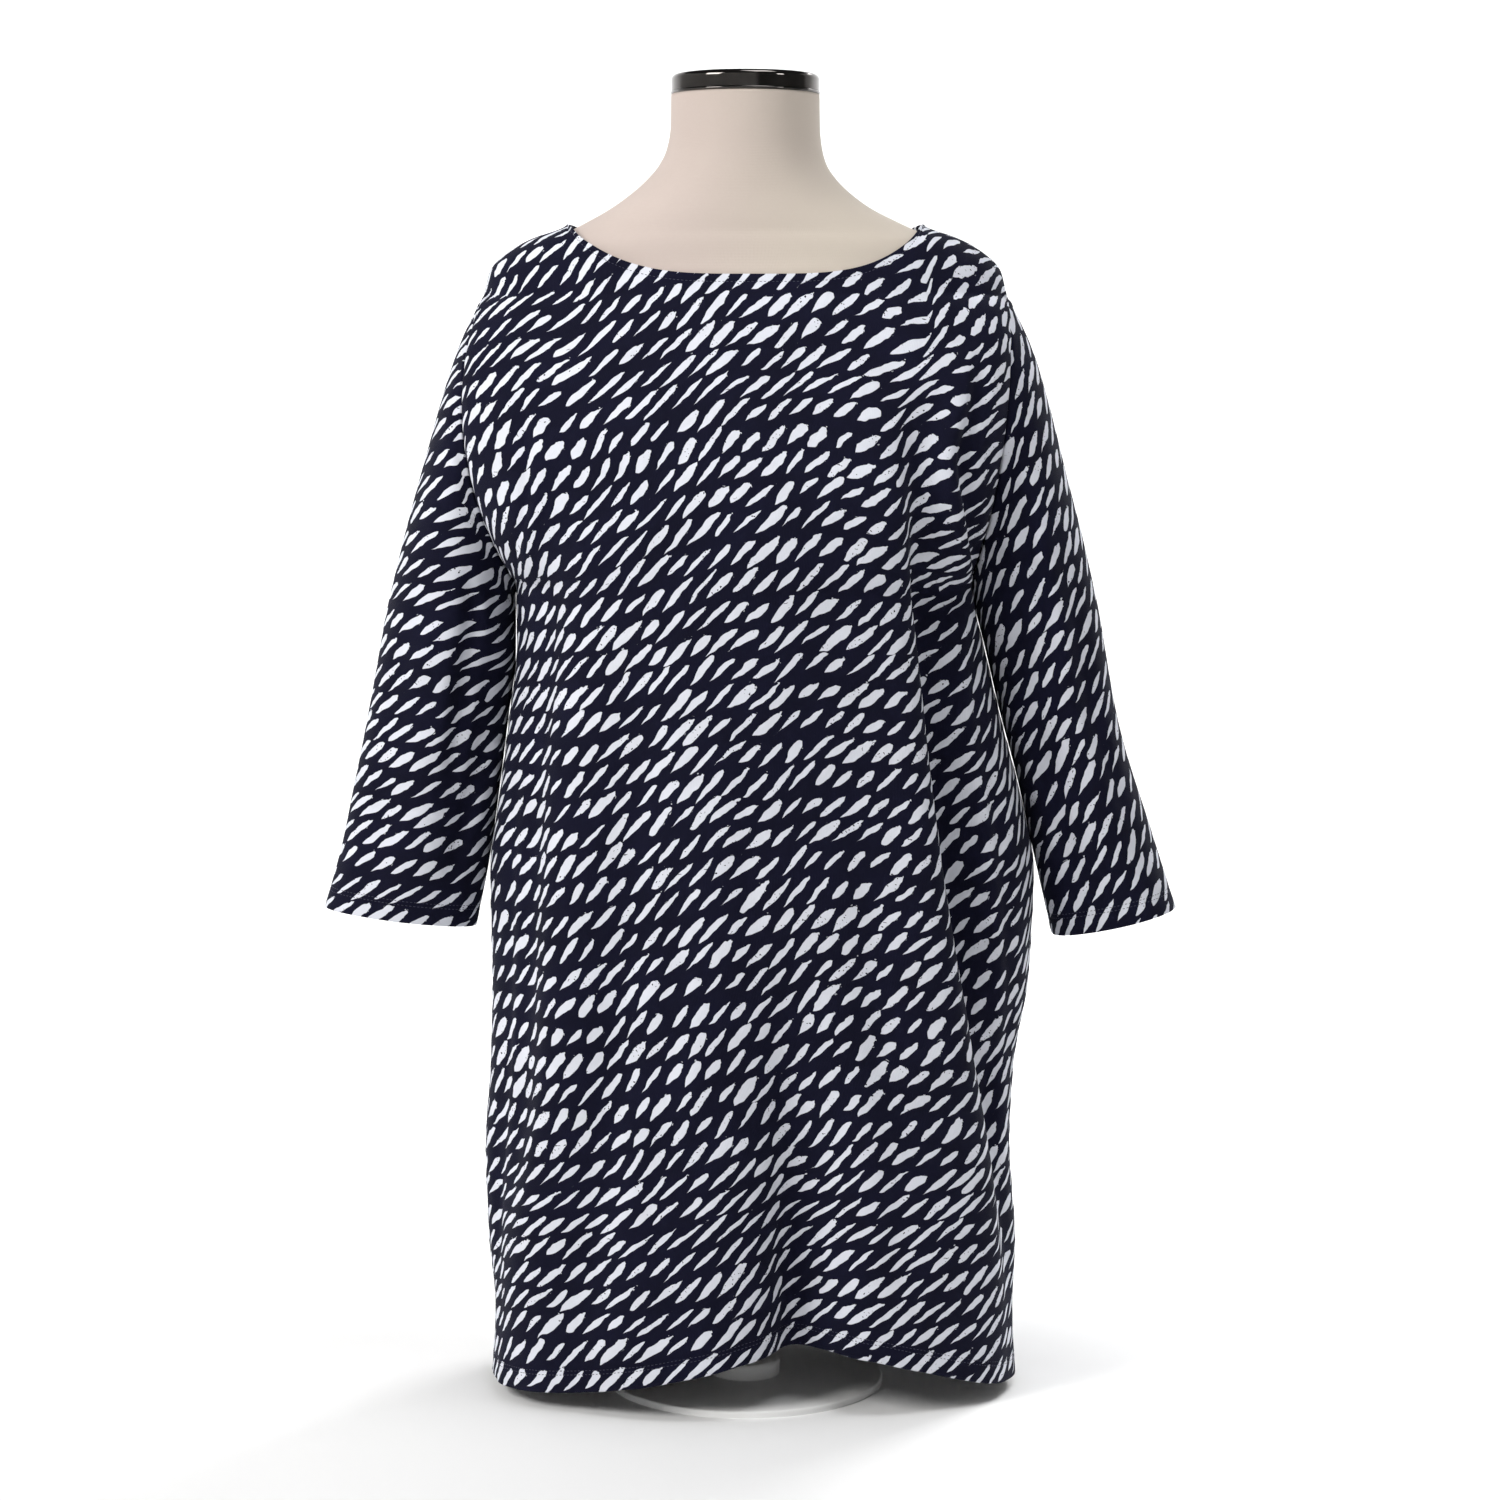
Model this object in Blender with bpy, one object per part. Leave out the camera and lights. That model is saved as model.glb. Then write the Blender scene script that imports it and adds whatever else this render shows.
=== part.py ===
"""Knitted tunic top with three-quarter sleeves, worn on a limbless dress form.

Metres, +Z up. The front faces -Y. Right and left are the wearer's: the wearer's right side is
at -X. The origin is on the floor, at the centre of the form's base plate.
"""
import math
from collections import namedtuple

import bmesh
import bpy
from mathutils import Vector

# Cloth
WALL = 0.0015
SEAM_GAP = 0.0003

# Armhole and shoulder: the sleeve is set on an oval that stands nearly upright at each side
SHOULDER_TIP_X = 0.195
SHOULDER_TIP_Z = 0.826
UNDERARM_Z = 0.615
ARMHOLE_HALF_DEPTH = 0.055
ARMHOLE_BOW = {"right": 0.0225, "left": 0.0080}
OUTWARD = {"right": -1.0, "left": 1.0}

# Neckline: a wide shallow scoop, lower in front than behind
NECK_HALF_WIDTH = 0.132
FRONT_NECK_Z = 0.8405
BACK_NECK_Z = 0.8640
FRONT_NECK_CURVE = {"right": 3.3, "left": 4.2}
BACK_NECK_CURVE = {"right": 2.2, "left": 2.2}

# Mesh fineness
ROWS_BELOW_ARM = 13
ROWS_AT_ARMHOLE = 10
FRONT_COLUMNS_AT_NECK = 28
FRONT_COLUMNS_AT_SHOULDER = 12
BACK_COLUMNS_AT_NECK = 20
BACK_COLUMNS_AT_SHOULDER = 9
SLEEVE_RINGS = 14
FORM_SIDES = 32
TURNED_SIDES = 32

# Level sections of the body of the tunic: how far it reaches to each side, forward and back.
# The square column flattens the section's front and back (1 is an ellipse, less is squarer).
BodySection = namedtuple("BodySection", "z right left front back square")
BODY = (
    BodySection(0.000, 0.1950, 0.2065, 0.1180, 0.1290, 0.80),
    BodySection(0.060, 0.1915, 0.2040, 0.1220, 0.1300, 0.80),
    BodySection(0.110, 0.1960, 0.2060, 0.1250, 0.1300, 0.80),
    BodySection(0.185, 0.1980, 0.2010, 0.1300, 0.1300, 0.80),
    BodySection(0.245, 0.1940, 0.2040, 0.1330, 0.1300, 0.80),
    BodySection(0.320, 0.1920, 0.2150, 0.1360, 0.1300, 0.80),
    BodySection(0.395, 0.1930, 0.2180, 0.1390, 0.1280, 0.80),
    BodySection(0.450, 0.1860, 0.2080, 0.1405, 0.1260, 0.80),
    BodySection(0.510, 0.1780, 0.1920, 0.1420, 0.1220, 0.82),
    BodySection(0.570, 0.1715, 0.1780, 0.1430, 0.1170, 0.86),
    BodySection(0.615, 0.1720, 0.1680, 0.1430, 0.1130, 0.90),
    BodySection(0.650, 0.1800, 0.1750, 0.1410, 0.1110, 0.94),
    BodySection(0.720, 0.1900, 0.1850, 0.1220, 0.1085, 1.00),
    BodySection(0.780, 0.1920, 0.1900, 0.0990, 0.1020, 1.00),
    BodySection(0.826, 0.1950, 0.1950, 0.0815, 0.0890, 1.00),
    BodySection(0.850, 0.1950, 0.1950, 0.0735, 0.0810, 1.00),
    BodySection(0.880, 0.1950, 0.1950, 0.0660, 0.0700, 1.00),
)

# The line of the shoulder seam, seen from the front
ShoulderPoint = namedtuple("ShoulderPoint", "x z")
SHOULDER = (
    ShoulderPoint(0.0600, 0.9330),
    ShoulderPoint(0.0740, 0.9130),
    ShoulderPoint(0.1020, 0.8915),
    ShoulderPoint(0.1320, 0.8780),
    ShoulderPoint(0.1610, 0.8680),
    ShoulderPoint(0.1830, 0.8540),
    ShoulderPoint(0.1900, 0.8455),
    ShoulderPoint(0.1950, 0.8260),
)

# Height of the front hem across the panel: side seam, right lobe, raised middle, left lobe
HemPoint = namedtuple("HemPoint", "across z")
FRONT_HEM = (
    HemPoint(-1.00, 0.0090),
    HemPoint(-0.90, 0.0110),
    HemPoint(-0.65, 0.0165),
    HemPoint(-0.40, 0.0250),
    HemPoint(-0.20, 0.0340),
    HemPoint(0.18, 0.0480),
    HemPoint(0.40, 0.0450),
    HemPoint(0.60, 0.0350),
    HemPoint(0.78, 0.0230),
    HemPoint(0.92, 0.0130),
    HemPoint(1.00, 0.0090),
)
BACK_HEM = (
    HemPoint(-1.00, 0.0090),
    HemPoint(-0.40, 0.0130),
    HemPoint(0.10, 0.0160),
    HemPoint(0.55, 0.0125),
    HemPoint(1.00, 0.0090),
)

# Large folds of the body. A row gives where the fold's crest is at one height, how far the crest
# stands out and how deep the trough beside it is.
FoldRow = namedtuple("FoldRow", "z x crest trough")
Fold = namedtuple("Fold", "name toward near far trough_offset trough_width rows")
FRONT_FOLDS = (
    Fold("right_ridge", -1.0, 0.030, 0.010, 0.018, 0.013, (
        FoldRow(0.040, -0.1740, 0.0030, 0.0060),
        FoldRow(0.125, -0.1650, 0.0060, 0.0100),
        FoldRow(0.225, -0.1460, 0.0080, 0.0130),
        FoldRow(0.350, -0.1390, 0.0090, 0.0150),
        FoldRow(0.500, -0.1290, 0.0080, 0.0130),
        FoldRow(0.610, -0.1190, 0.0040, 0.0070),
        FoldRow(0.700, -0.1120, 0.0000, 0.0000),
    )),
    Fold("left_ridge", 1.0, 0.034, 0.011, 0.021, 0.016, (
        FoldRow(0.060, 0.1900, 0.0020, 0.0030),
        FoldRow(0.160, 0.1810, 0.0060, 0.0100),
        FoldRow(0.270, 0.1640, 0.0090, 0.0190),
        FoldRow(0.400, 0.1420, 0.0100, 0.0240),
        FoldRow(0.540, 0.1240, 0.0090, 0.0180),
        FoldRow(0.640, 0.1130, 0.0060, 0.0100),
        FoldRow(0.760, 0.1050, 0.0000, 0.0000),
    )),
    Fold("middle_valley", 1.0, 0.022, 0.008, 0.022, 0.034, (
        FoldRow(0.020, 0.0220, 0.0070, 0.0480),
        FoldRow(0.120, 0.0190, 0.0060, 0.0360),
        FoldRow(0.240, 0.0150, 0.0030, 0.0180),
        FoldRow(0.370, 0.0120, 0.0000, 0.0000),
    )),
    Fold("soft_trough", -1.0, 0.020, 0.014, 0.014, 0.022, (
        FoldRow(0.060, -0.1080, 0.0000, 0.0030),
        FoldRow(0.140, -0.0980, 0.0010, 0.0070),
        FoldRow(0.405, -0.0680, 0.0010, 0.0060),
        FoldRow(0.610, -0.0600, 0.0000, 0.0000),
    )),
)
BACK_FOLDS = (
    Fold("right_ridge", -1.0, 0.030, 0.012, 0.022, 0.017, (
        FoldRow(0.020, -0.1500, 0.0080, 0.0150),
        FoldRow(0.250, -0.1330, 0.0090, 0.0160),
        FoldRow(0.480, -0.1200, 0.0050, 0.0100),
        FoldRow(0.660, -0.1120, 0.0000, 0.0000),
    )),
    Fold("left_ridge", 1.0, 0.030, 0.012, 0.022, 0.017, (
        FoldRow(0.020, 0.1580, 0.0080, 0.0160),
        FoldRow(0.250, 0.1420, 0.0090, 0.0180),
        FoldRow(0.480, 0.1220, 0.0060, 0.0120),
        FoldRow(0.680, 0.1120, 0.0000, 0.0000),
    )),
    Fold("middle_valley", -1.0, 0.024, 0.012, 0.022, 0.030, (
        FoldRow(0.020, -0.0120, 0.0050, 0.0220),
        FoldRow(0.220, -0.0080, 0.0030, 0.0120),
        FoldRow(0.420, 0.0000, 0.0000, 0.0000),
    )),
)
# Folds fade to nothing over this distance from a seam or an edge
FOLD_FADE = 0.035
# The panel's columns leave a ridge this far below its top and are straight this far below the tip
RIDGE_LEAVE = 0.040
TIP_CLEAR = 0.020

# Sections of each sleeve from armhole (0) to cuff (1): its outer edge, its inner edge and half
# its depth from front to back
SleeveSection = namedtuple("SleeveSection", "along out_x out_z in_x in_z half_depth")
SLEEVE = {
    "right": (
        SleeveSection(0.00, SHOULDER_TIP_X, SHOULDER_TIP_Z, 0.1720, UNDERARM_Z, ARMHOLE_HALF_DEPTH),
        SleeveSection(0.06, 0.2080, 0.8020, 0.1755, 0.6030, 0.0556),
        SleeveSection(0.12, 0.2170, 0.7790, 0.1775, 0.5900, 0.0560),
        SleeveSection(0.30, 0.2436, 0.6900, 0.1800, 0.5550, 0.0555),
        SleeveSection(0.48, 0.2678, 0.6000, 0.1850, 0.5150, 0.0525),
        SleeveSection(0.68, 0.2861, 0.5090, 0.1920, 0.4680, 0.0475),
        SleeveSection(0.87, 0.3055, 0.4180, 0.1995, 0.4050, 0.0410),
        SleeveSection(1.00, 0.3190, 0.3680, 0.2040, 0.3536, 0.0350),
    ),
    "left": (
        SleeveSection(0.00, SHOULDER_TIP_X, SHOULDER_TIP_Z, 0.1680, UNDERARM_Z, ARMHOLE_HALF_DEPTH),
        SleeveSection(0.06, 0.2080, 0.8020, 0.1735, 0.6030, 0.0556),
        SleeveSection(0.12, 0.2168, 0.7790, 0.1780, 0.5900, 0.0560),
        SleeveSection(0.30, 0.2413, 0.6900, 0.1850, 0.5600, 0.0555),
        SleeveSection(0.48, 0.2640, 0.6000, 0.1945, 0.5200, 0.0530),
        SleeveSection(0.68, 0.2815, 0.5090, 0.2075, 0.4700, 0.0500),
        SleeveSection(0.87, 0.3098, 0.4180, 0.2230, 0.4100, 0.0460),
        SleeveSection(1.00, 0.3260, 0.3680, 0.2325, 0.3470, 0.0430),
    ),
}

# Long troughs of the sleeves: turn is the angle round the sleeve from its outer edge, 90 degrees
# at the front and 180 at the inner edge
SleeveFold = namedtuple("SleeveFold", "flank turn width start end depth")
SLEEVE_FOLDS = (
    SleeveFold("right", 128.0, 20.0, 0.20, 0.95, 0.0065),
    SleeveFold("right", 62.0, 18.0, 0.45, 1.05, 0.0040),
    SleeveFold("right", 245.0, 24.0, 0.25, 1.05, 0.0060),
    SleeveFold("left", 122.0, 22.0, 0.15, 1.05, 0.0080),
    SleeveFold("left", 58.0, 16.0, 0.25, 0.80, 0.0035),
    SleeveFold("left", 240.0, 24.0, 0.30, 1.05, 0.0060),
)
SLEEVE_FOLD_FADE = 0.20

# Level sections of the dress form; its neck leans a little to the right
FormSection = namedtuple("FormSection", "z right left front back")
FORM = (
    FormSection(0.2600, 0.1480, 0.1480, 0.0930, 0.1050),
    FormSection(0.2640, 0.1570, 0.1570, 0.1010, 0.1130),
    FormSection(0.2740, 0.1625, 0.1625, 0.1060, 0.1180),
    FormSection(0.3100, 0.1650, 0.1650, 0.1080, 0.1200),
    FormSection(0.3700, 0.1590, 0.1590, 0.1040, 0.1140),
    FormSection(0.4300, 0.1450, 0.1450, 0.0980, 0.0990),
    FormSection(0.5000, 0.1290, 0.1290, 0.0960, 0.0860),
    FormSection(0.5500, 0.1330, 0.1330, 0.1090, 0.0870),
    FormSection(0.6000, 0.1460, 0.1460, 0.1280, 0.0930),
    FormSection(0.6400, 0.1550, 0.1550, 0.1360, 0.0980),
    FormSection(0.6800, 0.1610, 0.1610, 0.1300, 0.1010),
    FormSection(0.7200, 0.1680, 0.1680, 0.1170, 0.1020),
    FormSection(0.7600, 0.1760, 0.1760, 0.1020, 0.0990),
    FormSection(0.8000, 0.1830, 0.1830, 0.0870, 0.0920),
    FormSection(0.8260, 0.1870, 0.1870, 0.0775, 0.0850),
    FormSection(0.8420, 0.1860, 0.1860, 0.0722, 0.0795),
    FormSection(0.8500, 0.1800, 0.1800, 0.0685, 0.0760),
    FormSection(0.8588, 0.1690, 0.1690, 0.0655, 0.0715),
    FormSection(0.8662, 0.1540, 0.1530, 0.0632, 0.0680),
    FormSection(0.8728, 0.1345, 0.1320, 0.0612, 0.0640),
    FormSection(0.8815, 0.1170, 0.1125, 0.0602, 0.0630),
    FormSection(0.8905, 0.1010, 0.0945, 0.0590, 0.0610),
    FormSection(0.9010, 0.0860, 0.0795, 0.0575, 0.0590),
    FormSection(0.9120, 0.0733, 0.0680, 0.0565, 0.0575),
    FormSection(0.9230, 0.0640, 0.0605, 0.0558, 0.0565),
    FormSection(0.9350, 0.0583, 0.0570, 0.0552, 0.0558),
    FormSection(0.9500, 0.0556, 0.0554, 0.0550, 0.0552),
    FormSection(0.9745, 0.0550, 0.0550, 0.0550, 0.0550),
)

# Neck cap, pole and base
CAP_RADIUS = 0.0556
CAP_HEIGHT = 0.0155
CAP_EDGE = 0.0030
CAP_DOME = 0.0010
CAP_LIP = 0.0008
FLANGE_RADIUS = 0.0450
FLANGE_THICK = 0.0050
POLE_RADIUS = 0.0125
HUB_RADIUS = 0.0260
HUB_HEIGHT = 0.0120
HUB_EDGE = 0.0030
BASE_RADIUS = 0.1050
BASE_THICK = 0.0050
BASE_EDGE = 0.0015

REACH_HALVINGS = 40
SHARP_ANGLE = math.radians(40)


def glide(rows, key, value, at):
    """One column of a table at a place along another, on a smooth curve with no overshoot."""
    keys = [getattr(row, key) for row in rows]
    values = [getattr(row, value) for row in rows]
    if at <= keys[0]:
        return values[0]
    if at >= keys[-1]:
        return values[-1]
    slopes = [(v1 - v0) / (k1 - k0) for k0, k1, v0, v1 in zip(keys, keys[1:], values, values[1:])]
    tangents = [slopes[0]]
    for before, after in zip(slopes, slopes[1:]):
        tangents.append(2 * before * after / (before + after) if before * after > 0 else 0.0)
    tangents.append(slopes[-1])
    i = sum(1 for k in keys[1:-1] if k <= at)
    span = keys[i + 1] - keys[i]
    t = (at - keys[i]) / span
    return (values[i] * (1 + 2 * t) * (1 - t) ** 2 + values[i + 1] * t * t * (3 - 2 * t)
            + span * t * (1 - t) * (tangents[i] * (1 - t) - tangents[i + 1] * t))


def ramp(at, low, high):
    """0 below low, 1 above high, and a smooth step between."""
    t = min(1.0, max(0.0, (at - low) / (high - low)))
    return t * t * (3 - 2 * t)


def shoulder_z(x):
    return glide(SHOULDER, "x", "z", abs(x))


def shoulder_reach(z):
    """How far out the shoulder line is at a height above the shoulder's tip."""
    low, high = SHOULDER[0].x, SHOULDER_TIP_X
    for _ in range(REACH_HALVINGS):
        middle = (low + high) / 2
        if shoulder_z(middle) > z:
            low = middle
        else:
            high = middle
    return (low + high) / 2


def armhole_share(z):
    """0 at the shoulder's tip and the underarm, 1 half way up the armhole."""
    middle = (SHOULDER_TIP_Z + UNDERARM_Z) / 2
    half = (SHOULDER_TIP_Z - UNDERARM_Z) / 2
    return max(0.0, 1 - ((z - middle) / half) ** 2)


def side_reach(z, flank):
    """Where the panel's side edge is: side seam, then armhole, then the shoulder's tip."""
    if z >= SHOULDER_TIP_Z:
        return SHOULDER_TIP_X
    if z <= UNDERARM_Z:
        return glide(BODY, "z", flank, z)
    underarm_x = SLEEVE[flank][0].in_x
    rise = (z - UNDERARM_Z) / (SHOULDER_TIP_Z - UNDERARM_Z)
    straight = underarm_x + (SHOULDER_TIP_X - underarm_x) * rise
    return straight + ARMHOLE_BOW[flank] * armhole_share(z)


def top_edge(x, flank, centre_z, curve):
    """Neckline between the neck points, shoulder seam outside them."""
    if abs(x) >= NECK_HALF_WIDTH:
        return shoulder_z(x)
    rise = shoulder_z(NECK_HALF_WIDTH) - centre_z
    return centre_z + rise * (abs(x) / NECK_HALF_WIDTH) ** curve[flank]


def fold_push(folds, x, z):
    """How far the folds move the cloth outward at one place."""
    push = 0.0
    for fold in folds:
        offset = (x - glide(fold.rows, "z", "x", z)) * fold.toward
        width = fold.near if offset < 0 else fold.far
        push += glide(fold.rows, "z", "crest", z) * math.exp(-(offset / width) ** 2)
        beside = (offset - fold.trough_offset) / fold.trough_width
        push -= glide(fold.rows, "z", "trough", z) * math.exp(-beside ** 2)
    return push


def ridge_turn(folds, name, z, reach):
    """The angle across the panel at which a ridge fold's crest is at one height."""
    rows = next(fold.rows for fold in folds if fold.name == name)
    crest = math.asin(glide(rows, "z", "x", z) / reach)
    neck = math.copysign(math.asin(NECK_HALF_WIDTH / SHOULDER_TIP_X), crest)
    return crest + (neck - crest) * ramp(z, rows[-1].z - RIDGE_LEAVE, SHOULDER_TIP_Z - TIP_CLEAR)


def follow_ridges(folds, turn, z):
    """Move a column's angle so that the column below each neck point follows that side's ridge."""
    neck = math.asin(NECK_HALF_WIDTH / SHOULDER_TIP_X)
    quarter = math.pi / 2
    right = ridge_turn(folds, "right_ridge", z, side_reach(z, "right"))
    left = ridge_turn(folds, "left_ridge", z, side_reach(z, "left"))
    if turn < -neck:
        return -quarter + (right + quarter) * (turn + quarter) / (quarter - neck)
    if turn > neck:
        return quarter - (quarter - left) * (quarter - turn) / (quarter - neck)
    return right + (left - right) * (turn + neck) / (2 * neck)


def row_levels():
    """Shares of the panel's height, even below the arm and matched to the armhole above it."""
    side_bottom = FRONT_HEM[0].z
    heights = [side_bottom + (UNDERARM_Z - side_bottom) * i / ROWS_BELOW_ARM for i in range(ROWS_BELOW_ARM)]
    middle = (SHOULDER_TIP_Z + UNDERARM_Z) / 2
    half = (SHOULDER_TIP_Z - UNDERARM_Z) / 2
    for i in range(ROWS_AT_ARMHOLE + 1):
        heights.append(middle - half * math.cos(math.pi * i / ROWS_AT_ARMHOLE))
    return [(z - side_bottom) / (SHOULDER_TIP_Z - side_bottom) for z in heights]


def column_turns(at_neck, at_shoulder):
    """Angles across a panel, with a column exactly at each neck point."""
    neck_turn = math.asin(NECK_HALF_WIDTH / SHOULDER_TIP_X)
    quarter = math.pi / 2
    turns = [-quarter + (quarter - neck_turn) * i / at_shoulder for i in range(at_shoulder)]
    turns += [-neck_turn + 2 * neck_turn * i / at_neck for i in range(at_neck)]
    turns += [neck_turn + (quarter - neck_turn) * i / at_shoulder for i in range(at_shoulder + 1)]
    return turns


def panel_point(facing, turn, level):
    """A point of the outer face of the front (facing -1) or the back (facing 1)."""
    front = facing < 0
    folds = FRONT_FOLDS if front else BACK_FOLDS
    hem = FRONT_HEM if front else BACK_HEM
    centre_z = FRONT_NECK_Z if front else BACK_NECK_Z
    curve = FRONT_NECK_CURVE if front else BACK_NECK_CURVE
    top_x = math.sin(turn) * SHOULDER_TIP_X
    top = top_edge(top_x, "right" if turn < 0 else "left", centre_z, curve)
    bottom = glide(hem, "across", "z", math.sin(follow_ridges(folds, turn, hem[0].z)))
    z = bottom + (top - bottom) * level
    turn = follow_ridges(folds, turn, z)
    across = math.sin(turn)
    flank = "right" if across < 0 else "left"
    reach = side_reach(z, flank)
    x = across * reach
    spread = reach if z < SHOULDER_TIP_Z else shoulder_reach(z)
    opening = ARMHOLE_HALF_DEPTH * math.sqrt(armhole_share(z))
    depth = glide(BODY, "z", "front" if front else "back", z)
    roundness = math.sqrt(max(0.0, 1 - (x / spread) ** 2)) ** glide(BODY, "z", "square", z)
    y = opening + (depth - opening) * roundness + SEAM_GAP / 2
    free = ramp(1 - abs(across), 0.0, FOLD_FADE) * ramp(top - z, 0.0, FOLD_FADE)
    push = free * fold_push(folds, x, z)
    outward = Vector((depth * across, reach * math.cos(turn))).normalized()
    return Vector((x + push * outward.x, facing * (y + push * outward.y), z))


def sleeve_point(flank, turn, along):
    """A point of the sleeve's outer face; turn is 0 at the outer edge and 90 degrees in front."""
    rows = SLEEVE[flank]
    out_x, out_z, in_x, in_z, half_depth = (
        glide(rows, "along", column, along) for column in ("out_x", "out_z", "in_x", "in_z", "half_depth"))
    lift, side = math.cos(turn), math.sin(turn)
    bow = ARMHOLE_BOW[flank] * side ** 2 * (1 - along) ** 2
    half_length = math.hypot(out_x - in_x, out_z - in_z) / 2
    push = 0.0
    for fold in SLEEVE_FOLDS:
        if fold.flank == flank:
            away = (math.degrees(turn) - fold.turn) / fold.width
            from_ends = min(along - fold.start, fold.end - along)
            push -= fold.depth * ramp(from_ends, 0.0, SLEEVE_FOLD_FADE) * math.exp(-away ** 2)
    swell = 1 + push * abs(lift) / half_length
    x = (out_x + in_x) / 2 + lift * swell * (out_x - in_x) / 2 + bow + SEAM_GAP
    z = (out_z + in_z) / 2 + lift * swell * (out_z - in_z) / 2
    y = -side * (half_depth + push * abs(side))
    return Vector((OUTWARD[flank] * x, y, z))


def grid_normals(grid, closed):
    """Unit normals of a grid of points, from each point's neighbours."""
    rows, columns = len(grid), len(grid[0])
    normals = []
    for i in range(rows):
        line = []
        for j in range(columns):
            up = grid[min(i + 1, rows - 1)][j] - grid[max(i - 1, 0)][j]
            after = (j + 1) % columns if closed else min(j + 1, columns - 1)
            before = (j - 1) % columns if closed else max(j - 1, 0)
            line.append((grid[i][after] - grid[i][before]).cross(up).normalized())
        normals.append(line)
    return normals


def cloth_solid(name, outer, inner, closed, material):
    """A closed wall between two grids of points."""
    rows, columns = len(outer), len(outer[0])
    mesh = bmesh.new()
    skins = [[[mesh.verts.new(point) for point in line] for line in grid] for grid in (outer, inner)]
    spans = columns if closed else columns - 1
    for skin in skins:
        for i in range(rows - 1):
            for j in range(spans):
                k = (j + 1) % columns
                mesh.faces.new((skin[i][j], skin[i][k], skin[i + 1][k], skin[i + 1][j]))
    out, within = skins
    for i in (0, rows - 1):
        for j in range(spans):
            k = (j + 1) % columns
            mesh.faces.new((out[i][j], out[i][k], within[i][k], within[i][j]))
    if not closed:
        for j in (0, columns - 1):
            for i in range(rows - 1):
                mesh.faces.new((out[i][j], out[i + 1][j], within[i + 1][j], within[i][j]))
    return finish_object(name, mesh, material)


def finish_object(name, mesh, material, location=(0.0, 0.0, 0.0)):
    """Turn the faces outward and make a smooth-shaded object of the mesh."""
    bmesh.ops.recalc_face_normals(mesh, faces=mesh.faces)
    data = bpy.data.meshes.new(name)
    mesh.to_mesh(data)
    mesh.free()
    data.materials.append(material)
    data.shade_smooth()
    data.set_sharp_from_angle(angle=SHARP_ANGLE)
    made = bpy.data.objects.new(name, data)
    made.location = location
    bpy.context.scene.collection.objects.link(made)
    return made


def panel(name, facing, turns, material):
    """The front or the back. Its wall's edge is square to Y where the panels are sewn together,
    and runs straight in along X where a sleeve is sewn on."""
    levels = row_levels()
    outer = [[panel_point(facing, turn, level) for turn in turns] for level in levels]
    normals = grid_normals(outer, closed=False)
    inner = []
    for i, line in enumerate(outer):
        inner_line = []
        for j, point in enumerate(line):
            normal = normals[i][j] * (1 if facing < 0 else -1)
            at_sleeve = j in (0, len(turns) - 1) and point.z > UNDERARM_Z
            if at_sleeve:
                normal = Vector((math.copysign(1.0, point.x), 0.0, 0.0))
            elif abs(point.y) < SEAM_GAP:
                normal.y = 0
                normal.normalize()
            inner_line.append(point - WALL * normal)
        inner.append(inner_line)
    return cloth_solid(name, outer, inner, False, material)


def sleeve(name, flank, material):
    """One sleeve, a tube whose armhole ring has a point for each row of the panels."""
    around = 2 * ROWS_AT_ARMHOLE
    outer = [[sleeve_point(flank, 2 * math.pi * j / around, i / SLEEVE_RINGS) for j in range(around)]
             for i in range(SLEEVE_RINGS + 1)]
    normals = grid_normals(outer, closed=True)
    handed = 1 if flank == "right" else -1
    inner = [[point + WALL * handed * normal for point, normal in zip(line, normal_line)]
             for line, normal_line in zip(outer, normals)]
    return cloth_solid(name, outer, inner, True, material)


def form_torso(name, material):
    """Torso and neck of the dress form, one smooth body through level sections."""
    mesh = bmesh.new()
    rings = []
    for row in FORM:
        ring = []
        for i in range(FORM_SIDES):
            turn = 2 * math.pi * i / FORM_SIDES
            reach = row.right if math.sin(turn) < 0 else row.left
            depth = row.front if math.cos(turn) > 0 else row.back
            ring.append(mesh.verts.new((reach * math.sin(turn), -depth * math.cos(turn), row.z)))
        rings.append(ring)
    for low, high in zip(rings, rings[1:]):
        for i in range(FORM_SIDES):
            k = (i + 1) % FORM_SIDES
            mesh.faces.new((low[i], low[k], high[k], high[i]))
    mesh.faces.new(rings[0])
    mesh.faces.new(rings[-1])
    return finish_object(name, mesh, material)


def turned(name, profile, base_z, material):
    """A round piece about the Z axis from (radius, height) pairs, bottom to top."""
    mesh = bmesh.new()
    rings = []
    for radius, height in profile:
        turns = [2 * math.pi * i / TURNED_SIDES for i in range(TURNED_SIDES)]
        rings.append([mesh.verts.new((radius * math.cos(t), radius * math.sin(t), height)) for t in turns])
    for low, high in zip(rings, rings[1:]):
        for i in range(TURNED_SIDES):
            k = (i + 1) % TURNED_SIDES
            mesh.faces.new((low[i], low[k], high[k], high[i]))
    mesh.faces.new(rings[0])
    mesh.faces.new(rings[-1])
    return finish_object(name, mesh, material, (0.0, 0.0, base_z))


def rounded_edge(radius, height, edge, steps):
    """Quarter-round at the top outer edge of a disc, from its side to its top."""
    angles = [math.pi / 2 * i / steps for i in range(steps + 1)]
    return [(radius - edge + edge * math.cos(a), height - edge + edge * math.sin(a)) for a in angles]


def principled(name, colour, roughness, metallic=0.0):
    material = bpy.data.materials.new(name)
    material.use_nodes = True
    shader = material.node_tree.nodes["Principled BSDF"]
    shader.inputs["Base Color"].default_value = (*colour, 1.0)
    shader.inputs["Roughness"].default_value = roughness
    shader.inputs["Metallic"].default_value = metallic
    return material


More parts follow.
